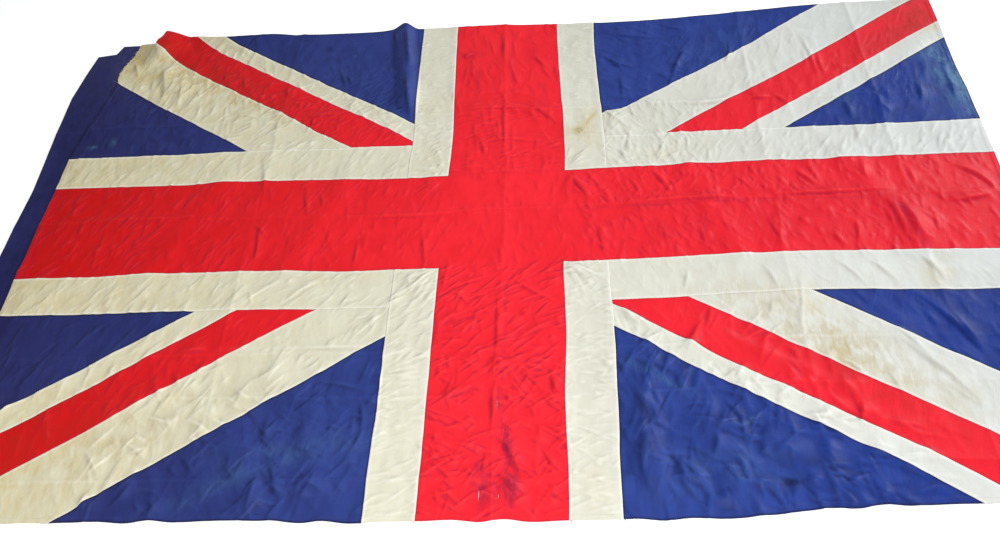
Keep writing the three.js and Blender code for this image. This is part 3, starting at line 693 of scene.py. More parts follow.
def tessellate(limits, slit=False):
    """Flat meshes of the upper side and, sparser, of the underside, with the same rim."""
    outline = outline_within(limits)
    stations = columns_for(outline, limits, slit)
    kept_full = {stations[0], stations[-1]}
    if slit:
        kept_full |= {u for u in stations if min(abs(u - line[0]) for line in SLITS) < TINY}
    upper = [(u, column_points(outline, limits, u)) for u in stations]
    lower = [(u, places if u in kept_full else sparse_points(outline, u)) for u, places in upper]
    return join_columns(upper), join_columns(lower)


def cut_slits(points, faces):
    """Opens each slit along a column of the mesh: its points double, and part into a lens."""
    for at, low, high, half_gap in SLITS:
        on_line = np.flatnonzero((np.abs(points[:, 0] - at) < TINY)
                                 & (points[:, 1] > low) & (points[:, 1] < high))
        if len(on_line) == 0:
            continue
        middle = points[faces].mean(1)
        twin = np.arange(len(points))
        twin[on_line] = len(points) + np.arange(len(on_line))
        right_side = middle[:, 0] > at
        faces[right_side] = twin[faces[right_side]]
        lens = half_gap / UNIT * np.sin(np.pi * (points[on_line, 1] - low) / (high - low))
        right = points[on_line] + np.stack([lens, 0 * lens], 1)
        points[on_line, 0] -= lens
        points = np.vstack([points, right])
    return points, faces


def rim_edges(faces):
    """Directed edges that only one triangle has."""
    edges = np.vstack([faces[:, [0, 1]], faces[:, [1, 2]], faces[:, [2, 0]]])
    size = faces.max() + 1
    forward = edges[:, 0] * size + edges[:, 1]
    back = edges[:, 1] * size + edges[:, 0]
    return edges[~np.isin(forward, back)]


# ---- heights of one cloth ----

WORN_CORNER = 17  # mm torn off the raw end's near corner
NEAR_CORNER = 11.35  # its place, in units
WORN_SPREAD = 0.8
FRAY_WAVES = ((2.2, 5.3, 0), (1.6, 12.7, 1), (1.0, 31, 0))  # mm, waves along v, start
FRAY_LOSS = 2  # mean loss, mm
FRAY_REACH = 14
PUCKER_WAVES = ((2.9, 1), (4.7, 2), (9.1, 0))  # spacing in mm, and share of the seam's phase
PHASE_RATE = 3.1


def seam_waves(edge, u, v):
    """Puckers along a seam, from 0 to 1, the same from both its sides."""
    sign = 1 if (edge["nu"], edge["nv"]) > (0, 0) else -1
    run = (edge["nv"] * u - edge["nu"] * v) * sign * UNIT
    phase = abs(edge["reach"]) * PHASE_RATE
    waves = sum(np.sin(run / spacing + share * phase) for spacing, share in PUCKER_WAVES)
    return 0.5 + waves / (2 * len(PUCKER_WAVES))


def heights(limits, rank, terrain, u, v):
    """Height of a cloth's upper side at points of the plan, mm, lying over that terrain."""
    z = GROUND + CLOTH + sample(terrain, u, v)
    z += HEADING_RISE * fade((hoist_distance(u, v) - HEADING_FLAT) / HEADING_RAMP)
    lift = np.zeros(len(u))
    sink = np.zeros(len(u))
    free = np.ones(len(u))
    pucker = np.zeros(len(u))
    hem = np.zeros(len(u))
    for edge in limits:
        d = inward(edge, u, v)
        if edge["kind"] == "over":
            piping = PIPING * np.exp(-(((d - PIPING_AT) / PIPING_WIDTH) ** 2))
            risen = LAP * rank * fade((d - LAP_HELD) / LAP_FADE)
            edge_height, edge_width = LAP_EDGE
            turned = np.maximum(0, risen - edge_height) * fade(d / edge_width)
            lift = np.maximum(lift, risen - turned + piping)
        if edge["kind"] == "under":
            past, over = UNDER_FADE
            sink = np.maximum(sink, LAP_SINK * np.clip(-d / LAP_WIDTH * 2, 0, 1))
            free = np.minimum(free, np.clip((d + past) / over, 0, 1))
        if edge["kind"] in ("over", "under"):
            height, reach = PUCKER
            pucker = np.maximum(pucker, height * seam_waves(edge, u, v) * np.exp(-np.abs(d) / reach))
        if edge["kind"] == "hem":
            hem = np.maximum(hem, HEM_RISE * fade((d - HEM_WIDTH + HEM_STEP) / HEM_STEP))
    return z + lift * free - sink + pucker + hem


def seam_distance(limits, kinds, u, v):
    """Distance to the nearest edge of those kinds, mm."""
    far = 99.0
    nearest = np.full(len(u), far)
    for edge in limits:
        if edge["kind"] in kinds:
            nearest = np.minimum(nearest, np.abs(inward(edge, u, v)))
    return nearest


def fray(limits, points):
    """Moves points near a raw edge in and out, so that it ends unevenly, worn off at its near end."""
    u, v = points.T.copy()
    for edge in limits:
        if edge["kind"] == "raw":
            d = inward(edge, u, v)
            wave = sum(size * np.sin(v * rate + start) for size, rate, start in FRAY_WAVES)
            worn = WORN_CORNER * fade((v - NEAR_CORNER) / WORN_SPREAD)
            lost = np.maximum(0, FRAY_LOSS + wave) + worn
            u = u + lost * np.exp(-np.maximum(d, 0) / FRAY_REACH) / UNIT
    return np.stack([u, v], 1)


# ---- stains, fading, age, painted shade and painted highlights, over the plan ----

# Patches: centre, half widths in units, lean in degrees, strength.
YELLOWED = (
    ((-23.0, 13.4), (2.4, 2.8), 0, 0.8), ((-22.0, -13.5), (6.0, 4.0), 30, 0.45),
    ((-16.5, -11.2), (6.0, 2.0), 33, 0.3), ((-15.5, 9.9), (6.0, 1.6), -33, 0.65),
    ((14.5, -8.2), (5.5, 1.3), -33, 0.4),
    ((23.0, 13.5), (1.5, 1.6), 0, 0.6), ((20.8, 11.4), (3.4, 0.8), 33, 0.35),
    ((-19.5, 11.4), (3.6, 1.8), -33, 0.6), ((-8.5, -3.4), (3.5, 0.7), 0, 0.18),
    ((4.1, 6.1), (1.6, 1.1), 40, 0.3), ((3.9, 4.6), (1.2, 1.6), 0, 0.2),
    ((3.75, 5.66), (0.26, 0.2), 20, 0.9), ((4.4, 6.25), (0.7, 0.14), 42, 0.6),
    ((14.4, -8.2), (0.9, 2.6), 20, 0.35), ((19.3, -4.2), (0.6, 1.2), -20, 0.4),
    ((12.8, -5.2), (2.2, 0.5), -10, 0.22), ((17.0, -11.4), (2.4, 0.8), -33, 0.2),
    ((-3.9, 8.0), (0.9, 0.8), 0, 0.22), ((21.8, 12.4), (2.0, 0.4), 33, 0.3),
    ((-15.8, -11.7), (1.1, 0.12), 3, 0.35), ((8.4, 4.0), (1.8, 0.6), 15, 0.2),
    ((-4.0, 4.0), (1.0, 1.2), 0, 0.2), ((4.0, -13.6), (0.9, 1.6), 0, 0.15),
)
# Dark patches, mostly dirt and grime. Painted shade: the broad faint ones on the lower white fields at
# (-13.5, -10.8) and (14.5, -8.0), the band down the fold at (18.8, -1.15), the lower half of the band
# at (11.5, -1.0) and the lines along its middle crease at (12.0, 0.35) and (6.2, 0.3).
DIRT_AND_SHADE_PATCHES = (
    ((-0.45, -13.9), (0.36, 0.8), 0, 0.75), ((-0.62, -12.8), (0.2, 0.8), 0, 0.6),
    ((0.5, -12.2), (0.26, 1.9), 5, 0.75), ((0.66, -13.8), (0.3, 0.9), 0, 0.75),
    ((0.1, -14.1), (0.2, 0.5), 0, 0.75), ((-24.6, -4.0), (1.2, 9.0), 0, 0.3),
    ((11.31, -14.08), (0.75, 0.22), 0, 0.6),
    ((18.8, -1.15), (0.32, 2.0), 19, 0.5), ((11.5, -1.0), (7.6, 1.3), 0, 0.12),
    ((-24.6, 9.5), (0.9, 5.0), 0, 0.35), ((-13.5, -10.8), (7.0, 1.4), 33, 0.1),
    ((14.5, -8.0), (7.0, 1.4), -33, 0.16),
    ((12.0, 0.35), (6.2, 0.12), 0, 0.3), ((6.2, 0.3), (2.4, 0.1), 0, 0.2),
    ((0.25, -6.0), (0.08, 2.6), 0, 0.35), ((-1.5, -5.9), (1.1, 0.09), 18, 0.5),
    ((-1.4, -9.7), (1.1, 0.08), 20, 0.35), ((-2.6, -6.6), (0.8, 0.08), 8, 0.35),
    ((-10.65, 13.4), (0.3, 0.25), 0, 0.35), ((6.3, -13.2), (0.3, 1.3), 0, 0.3),
    ((-1.9, 12.1), (0.7, 0.3), 10, 0.35), ((1.5, 13.0), (0.4, 1.4), 0, 0.2),
    ((-1.6, 9.6), (0.2, 2.0), 0, 0.3), ((0.4, 10.6), (0.15, 2.4), 0, 0.25),
    ((1.9, 8.6), (0.3, 0.9), 0, 0.25), ((-21.0, 4.2), (2.5, 0.3), 0, 0.12),
    ((-16.8, 13.9), (0.7, 0.18), -33, 0.2), ((-20.4, 9.4), (0.9, 0.25), -33, 0.2),
    ((3.75, 5.66), (0.2, 0.16), 20, 0.35), ((-3.84, 8.04), (0.3, 0.2), 0, 0.15),
    ((-21.78, 6.3), (0.5, 0.6), 10, 0.3), ((0.1, -10.22), (0.12, 0.5), 0, 0.5),
    ((6.1, -10.9), (0.35, 1.0), 12, 0.35), ((7.9, -8.8), (0.3, 0.8), -10, 0.3),
    ((9.4, -11.2), (0.7, 0.35), 20, 0.25), ((12.4, -13.3), (0.9, 0.3), -8, 0.3),
    ((21.5, -7.2), (3.2, 2.0), -20, 0.16),
)
# Pale patches, mostly faded and worn places. Painted highlights of wrinkles: the broad faint ones on
# the blue by the near hem at (9.0, -13.4), (-8.0, -12.2) and (-11.0, -13.6).
FADE_AND_HIGHLIGHT_PATCHES = (
    ((23.0, 10.2), (0.9, 0.5), -55, 0.9), ((23.7, 7.8), (1.05, 3.0), 6, 1.0),
    ((-21.78, 6.3), (0.16, 0.3), 10, 0.7), ((-9.03, 12.64), (0.09, 0.12), 0, 1.0),
    ((10.21, -11.38), (0.3, 0.1), 30, 0.7), ((9.0, -13.4), (2.6, 0.8), 10, 0.12),
    ((-8.0, -12.2), (2.8, 0.5), 8, 0.16), ((-11.0, -13.6), (2.6, 0.4), 25, 0.14),
    ((12.0, 12.4), (2.6, 1.6), 40, 0.1), ((17.6, 7.0), (0.4, 1.4), 0, 0.15),
    ((21.6, 7.0), (0.4, 1.4), 0, 0.15), ((-18.5, -8.6), (1.6, 0.4), 50, 0.12),
    ((-14.5, -9.4), (3.0, 0.2), 33, 0.18), ((-11.0, -7.3), (2.6, 0.15), 0, 0.2),
    ((6.6, -9.0), (1.6, 0.2), -33, 0.25), ((11.2, -7.9), (2.6, 0.15), -33, 0.4),
    ((21.5, 1.2), (2.0, 1.2), 0, 0.15), ((-22.9, 6.0), (0.25, 0.12), 0, 0.6),
)


def patches(table, u, v):
    """How strongly each point is covered by soft-edged patches, 0 to 1."""
    bare = np.ones(len(u))
    for (at_u, at_v), (half_u, half_v), lean, strength in table:
        turn = math.radians(lean)
        along = (u - at_u) * math.cos(turn) + (v - at_v) * math.sin(turn)
        across = (v - at_v) * math.cos(turn) - (u - at_u) * math.sin(turn)
        reach = (along / half_u) ** 2 + (across / half_v) ** 2
        bare *= 1 - strength * np.exp(-reach)
    return 1 - bare


# ---- materials ----


RIDGE_WIDTH = 0.16  # of a sharp ridge, for the noise's range
THREAD_WOBBLE = (1.2, 2.0)  # how far threads wander, and how often


class Nodes:
    """A few shorthands for building one material's node tree."""

    def __init__(self, name):
        self.material = bpy.data.materials.new(name)
        self.material.use_nodes = True
        self.tree = self.material.node_tree
        self.shader = self.tree.nodes["Principled BSDF"]
        self.place = self.node("ShaderNodeTexCoord").outputs["Object"]

    def node(self, kind, **settings):
        made = self.tree.nodes.new(kind)
        for name, value in settings.items():
            setattr(made, name, value)
        return made

    def link(self, value, socket):
        if isinstance(value, bpy.types.NodeSocket):
            self.tree.links.new(value, socket)
        else:
            socket.default_value = value

    def fed(self, kind, **values):
        """The first output of a new node whose named inputs have those values or links."""
        made = self.node(kind)
        for name, value in values.items():
            self.link(value, made.inputs[name])
        return made.outputs[0]

    def math(self, operation, a, b=0.0):
        made = self.node("ShaderNodeMath", operation=operation)
        self.link(a, made.inputs[0])
        self.link(b, made.inputs[1])
        return made.outputs[0]

    def scaled(self, low, high, value, to_low=0.0, to_high=1.0):
        made = self.node("ShaderNodeMapRange")
        for socket, given in zip(made.inputs, (value, low, high, to_low, to_high)):
            self.link(given, socket)
        return made.outputs[0]

    def noise(self, scale, detail=3.0, stretch=(1, 1, 1), distortion=0.0, turn=0.0):
        turned = self.fed("ShaderNodeMapping", Vector=self.place,
                          Rotation=(0, 0, math.radians(turn)))
        moved = self.fed("ShaderNodeMapping", Vector=turned, Scale=stretch)
        return self.fed("ShaderNodeTexNoise", Vector=moved, Scale=scale, Detail=detail,
                        Distortion=distortion)

    def ridged(self, *settings):
        """Noise folded about its middle, so that it has sharp ridges."""
        middle = self.math("ABSOLUTE", self.math("SUBTRACT", self.noise(*settings), 0.5))
        return self.scaled(0.0, RIDGE_WIDTH, middle, 1.0, 0.0)

    def threads(self, direction, per_metre):
        made = self.node("ShaderNodeTexWave", bands_direction=direction)
        self.link(self.place, made.inputs["Vector"])
        self.link(per_metre, made.inputs["Scale"])
        for name, value in zip(("Distortion", "Detail Scale"), THREAD_WOBBLE):
            self.link(value, made.inputs[name])
        return made.outputs["Fac"]

    def attribute(self, name):
        made = self.node("ShaderNodeAttribute", attribute_name=name)
        return made.outputs["Fac"]

    def mix(self, share, a, b, blend="MIX"):
        made = self.node("ShaderNodeMix", data_type="RGBA", blend_type=blend)
        self.link(share, made.inputs[0])
        self.link(a, made.inputs[6])
        self.link(b, made.inputs[7])
        return made.outputs[2]

    def cover(self, colour, attribute, share, other):
        """The colour, with another one mixed in where a mesh attribute is high."""
        amount = self.math("MULTIPLY", self.attribute(attribute), share)
        return self.mix(amount, colour, other)

    def bumps(self, layers):
        """A normal with several heights laid over each other, each with strength and depth."""
        below = {}
        for height, strength, depth in layers:
            normal = self.fed("ShaderNodeBump", Height=height, Strength=strength,
                              Distance=depth, **below)
            below = {"Normal": normal}
        return normal


def srgb(red, green, blue):
    """A colour given by its 0 to 255 values, as Blender's linear one."""
    def linear(value):
        share = value / 255
        return share / 12.92 if share <= 0.04045 else ((share + 0.055) / 1.055) ** 2.4
    return (linear(red), linear(green), linear(blue), 1.0)


COLOURS_WITH_PAINTED_LIGHT = {  # colour at the hoist, in the middle and at the fly, partly the cloth's own fading and age and partly painted light, darker at the hoist and brightest in the middle; then aged ones, dark ones for dirt and painted shade, and pale ones for fading and painted highlights
    "red": (srgb(190, 8, 4), srgb(237, 38, 50), srgb(216, 20, 40),
            srgb(170, 30, 20), srgb(150, 24, 56), srgb(242, 84, 92)),
    "white": (srgb(207, 202, 173), srgb(212, 210, 194), srgb(202, 206, 206),
              srgb(190, 170, 116), srgb(116, 110, 92), srgb(242, 241, 236)),
    "blue": (srgb(38, 40, 92), srgb(50, 70, 142), srgb(8, 46, 134),
             srgb(54, 54, 96), srgb(12, 12, 38), srgb(76, 116, 150)),
}
WEAVE_PER_METRE = 420
PLIES_PER_METRE = 1400
SHEEN = 0.02
SHEEN_ROUGHNESS = 0.4
# Paler doubled cloth and a painted highlight along lapped seam edges.
SEAM_LIGHT = {"red": 0.06, "white": 0.45, "blue": 0.0}
SEAM_SHADOW = {"red": 0.5, "white": 0.03, "blue": 0.9}
RUBBED_AND_LIT = {"red": 0.12, "white": 0.25, "blue": 0.05}  # painted highlight on ridges, with some wear
GRIMY_AND_SHADED = {"red": 0.7, "white": 0.34, "blue": 0.6}  # painted shade in hollows, with some grime
# Darker tone of each cloth: for dye mottle, slubs and weave, and for painted shade in crumples and
# between threads.
MOTTLE_AND_SHADE = {
    "red": (0.88, 0.7, 0.72, 1), "white": (0.9, 0.89, 0.87, 1), "blue": (0.66, 0.62, 0.7, 1),
}
SHINE = {"red": 0.12, "white": 0.12, "blue": 0.13}
FULL_SHARPNESS = 0.6  # mm
FINE_WRINKLES = (  # turn in degrees, scale, stretch, strength at the hoist and at the fly
    (-24, 34.0, (1.0, 0.24, 1.0), (0.75, 0.15)),
    (20, 38.0, (1.0, 0.26, 1.0), (0.3, 0.8)),
    (90, 26.0, (1.0, 0.3, 1.0), (0.5, 0.5)),
)


def cloth_material(name):
    """Thin plain-woven bunting: threads, slubs, mottled dye, age, dirt and doubled seams, with painted
    shade in crumples, hollows, between threads and beside seams, and painted highlights on ridges, pale
    streaks and lapped seam edges.
    """
    hoist, middle, fly, aged, dirt_and_shade, fade_and_highlight = COLOURS_WITH_PAINTED_LIGHT[name]
    nodes = Nodes(name + "_bunting")
    # From hoist through middle to fly: partly fading and age of the cloth, partly painted light.
    across = nodes.attribute("across")
    colour = nodes.mix(nodes.scaled(0.0, 0.5, across), hoist, middle)
    colour = nodes.mix(nodes.scaled(0.5, 1.0, across), colour, fly)

    mottle = nodes.noise(5.0, 5.0)
    cloud = nodes.noise(22.0, 4.0)
    slub_weft = nodes.noise(9.0, 3.0, (1, 70, 1))
    slub_warp = nodes.noise(9.0, 3.0, (70, 1, 1))
    dark = nodes.mix(1.0, colour, MOTTLE_AND_SHADE[name], "MULTIPLY")
    # Painted shade of broad crumpled facets: soft dark patches in the colour.
    crumple_shade = nodes.noise(13.0, 2.0, (1.3, 0.7, 1), 1.4)
    slubs = nodes.math("ADD", slub_weft, slub_warp)
    darkened = ((crumple_shade, 0.42, 0.62, 0.75), (mottle, 0.35, 0.7, 0.45), (slubs, 0.85, 1.3, 0.35))
    for pattern, low, high, most in darkened:
        colour = nodes.mix(nodes.scaled(low, high, pattern, 0.0, most), colour, dark)

    streaks = nodes.math("MULTIPLY", nodes.noise(62.0, 6.0, (1.6, 0.5, 1), 1.0), cloud)
    broken = nodes.scaled(0.15, 0.34, streaks, 0.1, 1.3)
    for attribute, other in (("fade_and_highlight", fade_and_highlight), ("yellowed", aged), ("dirt_and_shade", dirt_and_shade)):
        colour = nodes.cover(colour, attribute, broken, other)

    fine = 0.0
    for turn, scale, stretch, (at_hoist, at_fly) in FINE_WRINKLES:
        lines = nodes.ridged(scale, 2.0, stretch, 0.5, turn)
        there = nodes.scaled(0.0, 1.0, across, at_hoist, at_fly)
        gathered = nodes.scaled(0.38, 0.62, nodes.noise(7.0, 3.0), 0.15, 1.0)
        share = nodes.math("MULTIPLY", there, gathered)
        fine = nodes.math("ADD", nodes.math("MULTIPLY", lines, share), fine)
    # Painted highlight on ridges and painted shade in hollows, with some wear and grime; a doubled
    # seam's paler cloth with a painted highlight; a seam's painted shadow.
    covers = (("ridge", RUBBED_AND_LIT, fade_and_highlight), ("hollow", GRIMY_AND_SHADED, dirt_and_shade),
              ("doubled_and_lit", SEAM_LIGHT, fade_and_highlight), ("shadowed", SEAM_SHADOW, dirt_and_shade))
    for attribute, shares, other in covers:
        colour = nodes.cover(colour, attribute, shares[name], other)

    warp, weft = (nodes.threads(direction, WEAVE_PER_METRE) for direction in "XY")
    weave = nodes.math("ADD", warp, weft)
    # Painted shade between the threads of the weave.
    colour = nodes.mix(nodes.scaled(0.4, 1.6, weave, 0.12, 0.0), colour, dark)
    nodes.link(colour, nodes.shader.inputs["Base Color"])

    rumples = nodes.noise(38.0, 4.0, (1, 1, 1), 0.6)
    crinkles = nodes.noise(130.0, 3.0, (1, 1, 1), 0.3)
    layers = ((fine, 0.55, 0.0009), (rumples, 0.25, 0.0012), (crinkles, 0.25, 0.0005),
              (slubs, 0.20, 0.0003), (weave, 0.25, 0.00012))
    nodes.link(nodes.bumps(layers), nodes.shader.inputs["Normal"])

    rough = nodes.scaled(0.2, 0.8, cloud, 0.46, 0.64)
    nodes.link(rough, nodes.shader.inputs["Roughness"])
    nodes.shader.inputs["Specular IOR Level"].default_value = SHINE[name]
    nodes.shader.inputs["Sheen Weight"].default_value = SHEEN
    nodes.shader.inputs["Sheen Roughness"].default_value = SHEEN_ROUGHNESS
    return nodes.material


def thread_material(name):
    """Sewing thread: two plies twisted together, a little worn."""
    nodes = Nodes(name + "_thread")
    _, middle, _, aged, dirt_and_shade, _ = COLOURS_WITH_PAINTED_LIGHT[name]
    ply = nodes.threads("DIAGONAL", PLIES_PER_METRE)
    grime = nodes.noise(60.0, 4.0)
    colour = nodes.mix(nodes.scaled(0.35, 0.75, grime), middle, aged)
    # Painted shade in the grooves between the plies.
    colour = nodes.mix(nodes.scaled(0.0, 1.0, ply, 0.3, 0.0), colour, dirt_and_shade)
    nodes.link(colour, nodes.shader.inputs["Base Color"])
    nodes.link(nodes.bumps([(ply, 0.5, 0.0002)]), nodes.shader.inputs["Normal"])
    nodes.link(nodes.scaled(0.3, 0.8, grime, 0.55, 0.75), nodes.shader.inputs["Roughness"])
    return nodes.material


CLOTHS = {name: cloth_material(name) for name in COLOURS_WITH_PAINTED_LIGHT}
THREADS = {name: thread_material(name) for name in COLOURS_WITH_PAINTED_LIGHT}

# ---- making the pieces ----


def mesh_object(name, points, faces, material, smooth):
    mesh = bpy.data.meshes.new(name)
    mesh.from_pydata(points.tolist(), [], faces.tolist())
    mesh.polygons.foreach_set("use_smooth", smooth)
    mesh.materials.append(material)
    piece = bpy.data.objects.new(name, mesh)
    bpy.context.scene.collection.objects.link(piece)
    return piece


def set_attribute(piece, name, values):
    made = piece.data.attributes.new(name, "FLOAT", "POINT")
    made.data.foreach_set("value", np.clip(values, 0, 1).astype(np.float32))


DOUBLED_AND_LIT_AT = 2.2  # where a lapped seam is palest, from its doubled cloth and a painted highlight on its raised edge, and how wide that is, mm
DOUBLED_AND_LIT_WIDTH = 2.0
SHADOW_WIDTH = 2.8
SAME_COLOUR_SHADOW = 0.12  # share of the shadow that a red on red seam has
RED_SEAM_ENDS = 0.1  # units left out at such a seam's ends, and the reach beside it
RED_SEAM_BESIDE = 0.4
HOIST_YELLOWING = 0.42  # of the white cloths at the hoist, and the units over which it comes
YELLOWING_FROM = 4
YELLOWING_OVER = 20


def colour_attributes(piece, limits, colour, u, v):
    """How much each point of a cloth gets of: a doubled seam's paler cloth with its painted highlight,
    a seam's painted shadow, fading and painted highlights, yellowing, dirt and painted shade, and
    painted highlight on ridges and painted shade in hollows.
    """
    # A doubled seam's paler cloth and painted highlight, then a seam's painted shadow.
    doubled_and_lit_from = seam_distance(limits, ("over",), u, v) - DOUBLED_AND_LIT_AT
    doubled_and_lit = np.exp(-(doubled_and_lit_from / DOUBLED_AND_LIT_WIDTH) ** 2)
    shadowed = np.exp(-((seam_distance(limits, ("under", "hem"), u, v) / SHADOW_WIDTH) ** 2))
    beside = np.abs(np.abs(v) - RED_HALF) < RED_SEAM_BESIDE
    red_on_red = (np.abs(u) < RED_HALF - RED_SEAM_ENDS) & beside
    shadowed = np.where(red_on_red, SAME_COLOUR_SHADOW * shadowed, shadowed)
    yellow = patches(YELLOWED, u, v)
    if colour == "white":
        towards_hoist = np.clip((-u - YELLOWING_FROM) / YELLOWING_OVER, 0, 1)
        yellow = np.maximum(yellow, HOIST_YELLOWING * towards_hoist)
    values = {
        "across": np.clip((u - HOIST_END) / (FLY_END - HOIST_END), 0, 1),
        "doubled_and_lit": doubled_and_lit, "shadowed": shadowed, "yellowed": yellow,
        "dirt_and_shade": patches(DIRT_AND_SHADE_PATCHES, u, v), "fade_and_highlight": patches(FADE_AND_HIGHLIGHT_PATCHES, u, v),
        # Painted highlight on the ridges and painted shade in the hollows of the wrinkles.
        "ridge": sample(SHARPNESS, u, v) / FULL_SHARPNESS,
        "hollow": -sample(SHARPNESS, u, v) / FULL_SHARPNESS,
    }
    for name, amount in values.items():
        set_attribute(piece, name, amount)


def point_keys(points):
    return [(round(u, 5), round(v, 5)) for u, v in points.tolist()]


def close_sheet(upper, lower, faces, lower_faces, top, bottom):
    """A closed thin sheet in the frame from its two flat sides: points, triangles and smoothness."""
    rim = rim_edges(faces)
    below = {key: k for k, key in enumerate(point_keys(lower))}
    keys = point_keys(upper)
    twin = {k: below[keys[k]] for k in rim[:, 0].tolist()}
    for k, other in twin.items():
        bottom[other] = top[k] - CLOTH
    count = len(upper)
    near, far = rim.T
    near_below = np.array([twin[k] for k in near.tolist()]) + count
    far_below = np.array([twin[k] for k in far.tolist()]) + count
    sides = np.vstack([np.stack([far, near, near_below], 1),
                       np.stack([far, near_below, far_below], 1)])
    everything = np.vstack([faces, lower_faces[:, ::-1] + count, sides])
    smooth = np.arange(len(everything)) < len(faces) + len(lower_faces)
    points = np.vstack([place(*upper.T, top), place(*lower.T, bottom)])
    return points, everything, smooth


def finish_sheet(piece, node):
    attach(piece, "root")
    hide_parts(node)


def add_cloth(name, colour, rank, limits, slit=False):
    """Makes one cloth of the flag and the stitches along the edges where it lies on top."""
    (upper, faces), (lower, lower_faces) = tessellate(limits, slit)
    if slit:
        upper, faces = cut_slits(upper, faces)
        lower, lower_faces = cut_slits(lower, lower_faces)
    upper, lower = fray(limits, upper), fray(limits, lower)
    top = heights(limits, RANK[rank], TERRAIN, *upper.T)
    bottom = heights(limits, RANK[rank], SMOOTH, *lower.T) - CLOTH
    points, everything, smooth = close_sheet(upper, lower, faces, lower_faces, top, bottom)
    piece = mesh_object(name + "_cloth", points, everything, CLOTHS[colour], smooth)
    colour_attributes(piece, limits, colour, *np.vstack([upper, lower]).T)
    finish_sheet(piece, name)
    add_stitches(limits, RANK[rank], colour)


# ---- stitches: small lozenges of thread, gathered by colour and joined at the end ----

STITCH_SPACING = 4.6
STITCH_SHAPE = (3.4, 0.75, 0.42)  # length, width and height, mm
STITCH_ROWS = {"over": (2.6,), "hem": (9.6,)}
LOZENGE = np.array([(0.5, 0, 0), (-0.5, 0, 0), (0, 0.5, 0), (0, -0.5, 0), (0, 0, 0.5), (0, 0, -0.5)])
LOZENGE_FACES = np.array([(0, 2, 4), (2, 1, 4), (1, 3, 4), (3, 0, 4),
                          (2, 0, 5), (1, 2, 5), (3, 1, 5), (0, 3, 5)])
stitches = {name: [] for name in COLOURS_WITH_PAINTED_LIGHT}


def row_on_edge(limits, edge, inset):
    """Plan points spaced along an edge, that far inside it, where they are inside the cloth."""
    foot = np.array((edge["nu"], edge["nv"])) * (edge["reach"] - inset / UNIT)
    direction = np.array((-edge["nv"], edge["nu"]))
    past_flag = 40
    run = np.arange(-past_flag, past_flag, STITCH_SPACING / UNIT)
    u, v = foot[:, None] + direction[:, None] * run
    margin = 2.0
    inside = np.ones(len(run), bool)
    for other in limits:
        if other is not edge:
            inside &= inward(other, u, v) > margin
    return u[inside], v[inside], direction


def add_stitches(limits, rank, colour):
    for edge in limits:
        for inset in STITCH_ROWS.get(edge["kind"], ()):
            u, v, direction = row_on_edge(limits, edge, inset)
            if len(u) == 0:
                continue
            ahead = STITCH_SHAPE[0] / UNIT / 2
            z = heights(limits, rank, TERRAIN, u, v)
            start = place(u - direction[0] * ahead, v - direction[1] * ahead, z)
            end = place(u + direction[0] * ahead, v + direction[1] * ahead, z)
            stitches[colour].append((start, end))


def stitch_meshes():
    """One joined piece of stitches for each colour of thread."""
    length, width, height = (size * MM for size in STITCH_SHAPE)
    for colour, rows in stitches.items():
        start = np.vstack([row[0] for row in rows])
        end = np.vstack([row[1] for row in rows])
        middle = (start + end) / 2
        forward = (end - start) / np.linalg.norm(end - start, axis=1)[:, None]
        side = np.cross((0, 0, 1), forward)
        up = np.cross(forward, side)
        corners = (middle[:, None] + LOZENGE[None, :, :1] * length * forward[:, None]
                   + LOZENGE[None, :, 1:2] * width * side[:, None]
                   + LOZENGE[None, :, 2:] * height * up[:, None])
        points = corners.reshape(-1, 3)
        first = np.arange(len(middle)) * len(LOZENGE)
        faces = (LOZENGE_FACES[None] + first[:, None, None]).reshape(-1, 3)
        loose_points, loose_faces = tube_mesh(loose_threads[colour])
        faces = np.vstack([faces, loose_faces + len(points)])
        points = np.vstack([points, loose_points])
        smooth = np.ones(len(faces), bool)
        piece = mesh_object("stitches_" + colour, points, faces, THREADS[colour], smooth)
        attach(piece, "root")


# ---- loose threads: thin tubes, joined to the stitches of their colour ----

THREAD_RADIUS = 0.45  # mm
THREAD_CLEAR = 0.3  # above the floor, mm
THREAD_BEND = 0.5
THREAD_TIP = 0.35  # share of the radius left at its end
TUBE_SIDES = 4
THREAD_JOINTS = 6
FRINGE = (("white", WHITE_RAW_END, 34), ("red", RED_RAW_END, 12))  # colour, raw edge, how many
FRINGE_LENGTH = (4, 15)  # mm
FRINGE_SPAN = (0.12, 0.97)  # share of the raw edge
FRINGE_INSET = 0.13
FRINGE_DIRECTION = (172, 22)  # mean and spread, degrees
FRINGE_DROP = 4  # at most this far down, since the heading is below, mm
DROOP = 0.7
HEM_ENDS = (  # thread ends left at the near hem: colour, place in units, direction in degrees, mm
    ("red", (-2.95, -15.15), 250, 9), ("red", (2.98, -15.15), -60, 11), ("red", (-2.7, -15.15), 275, 6),
    ("blue", (5.1, -15.15), -100, 9), ("blue", (-5.1, -15.15), -70, 7), ("blue", (5.5, -15.1), -80, 6),
    ("white", (-18.3, -15.1), -110, 8), ("white", (16.6, -14.9), -60, 9),
)
loose_threads = {name: [] for name in COLOURS_WITH_PAINTED_LIGHT}


def add_loose_thread(rng, colour, start, angle, length, height):
    """One thread that leaves a cloth's edge at that height and comes down to the floor."""
    t = np.linspace(0, 1, THREAD_JOINTS)
    bend = rng.normal(0, THREAD_BEND) * t ** 2
    u = start[0] + length / UNIT * t * np.cos(angle + bend)
    v = start[1] + length / UNIT * t * np.sin(angle + bend)
    z = height + (THREAD_RADIUS + THREAD_CLEAR - height) * t ** DROOP
    loose_threads[colour].append(place(u, v, z))


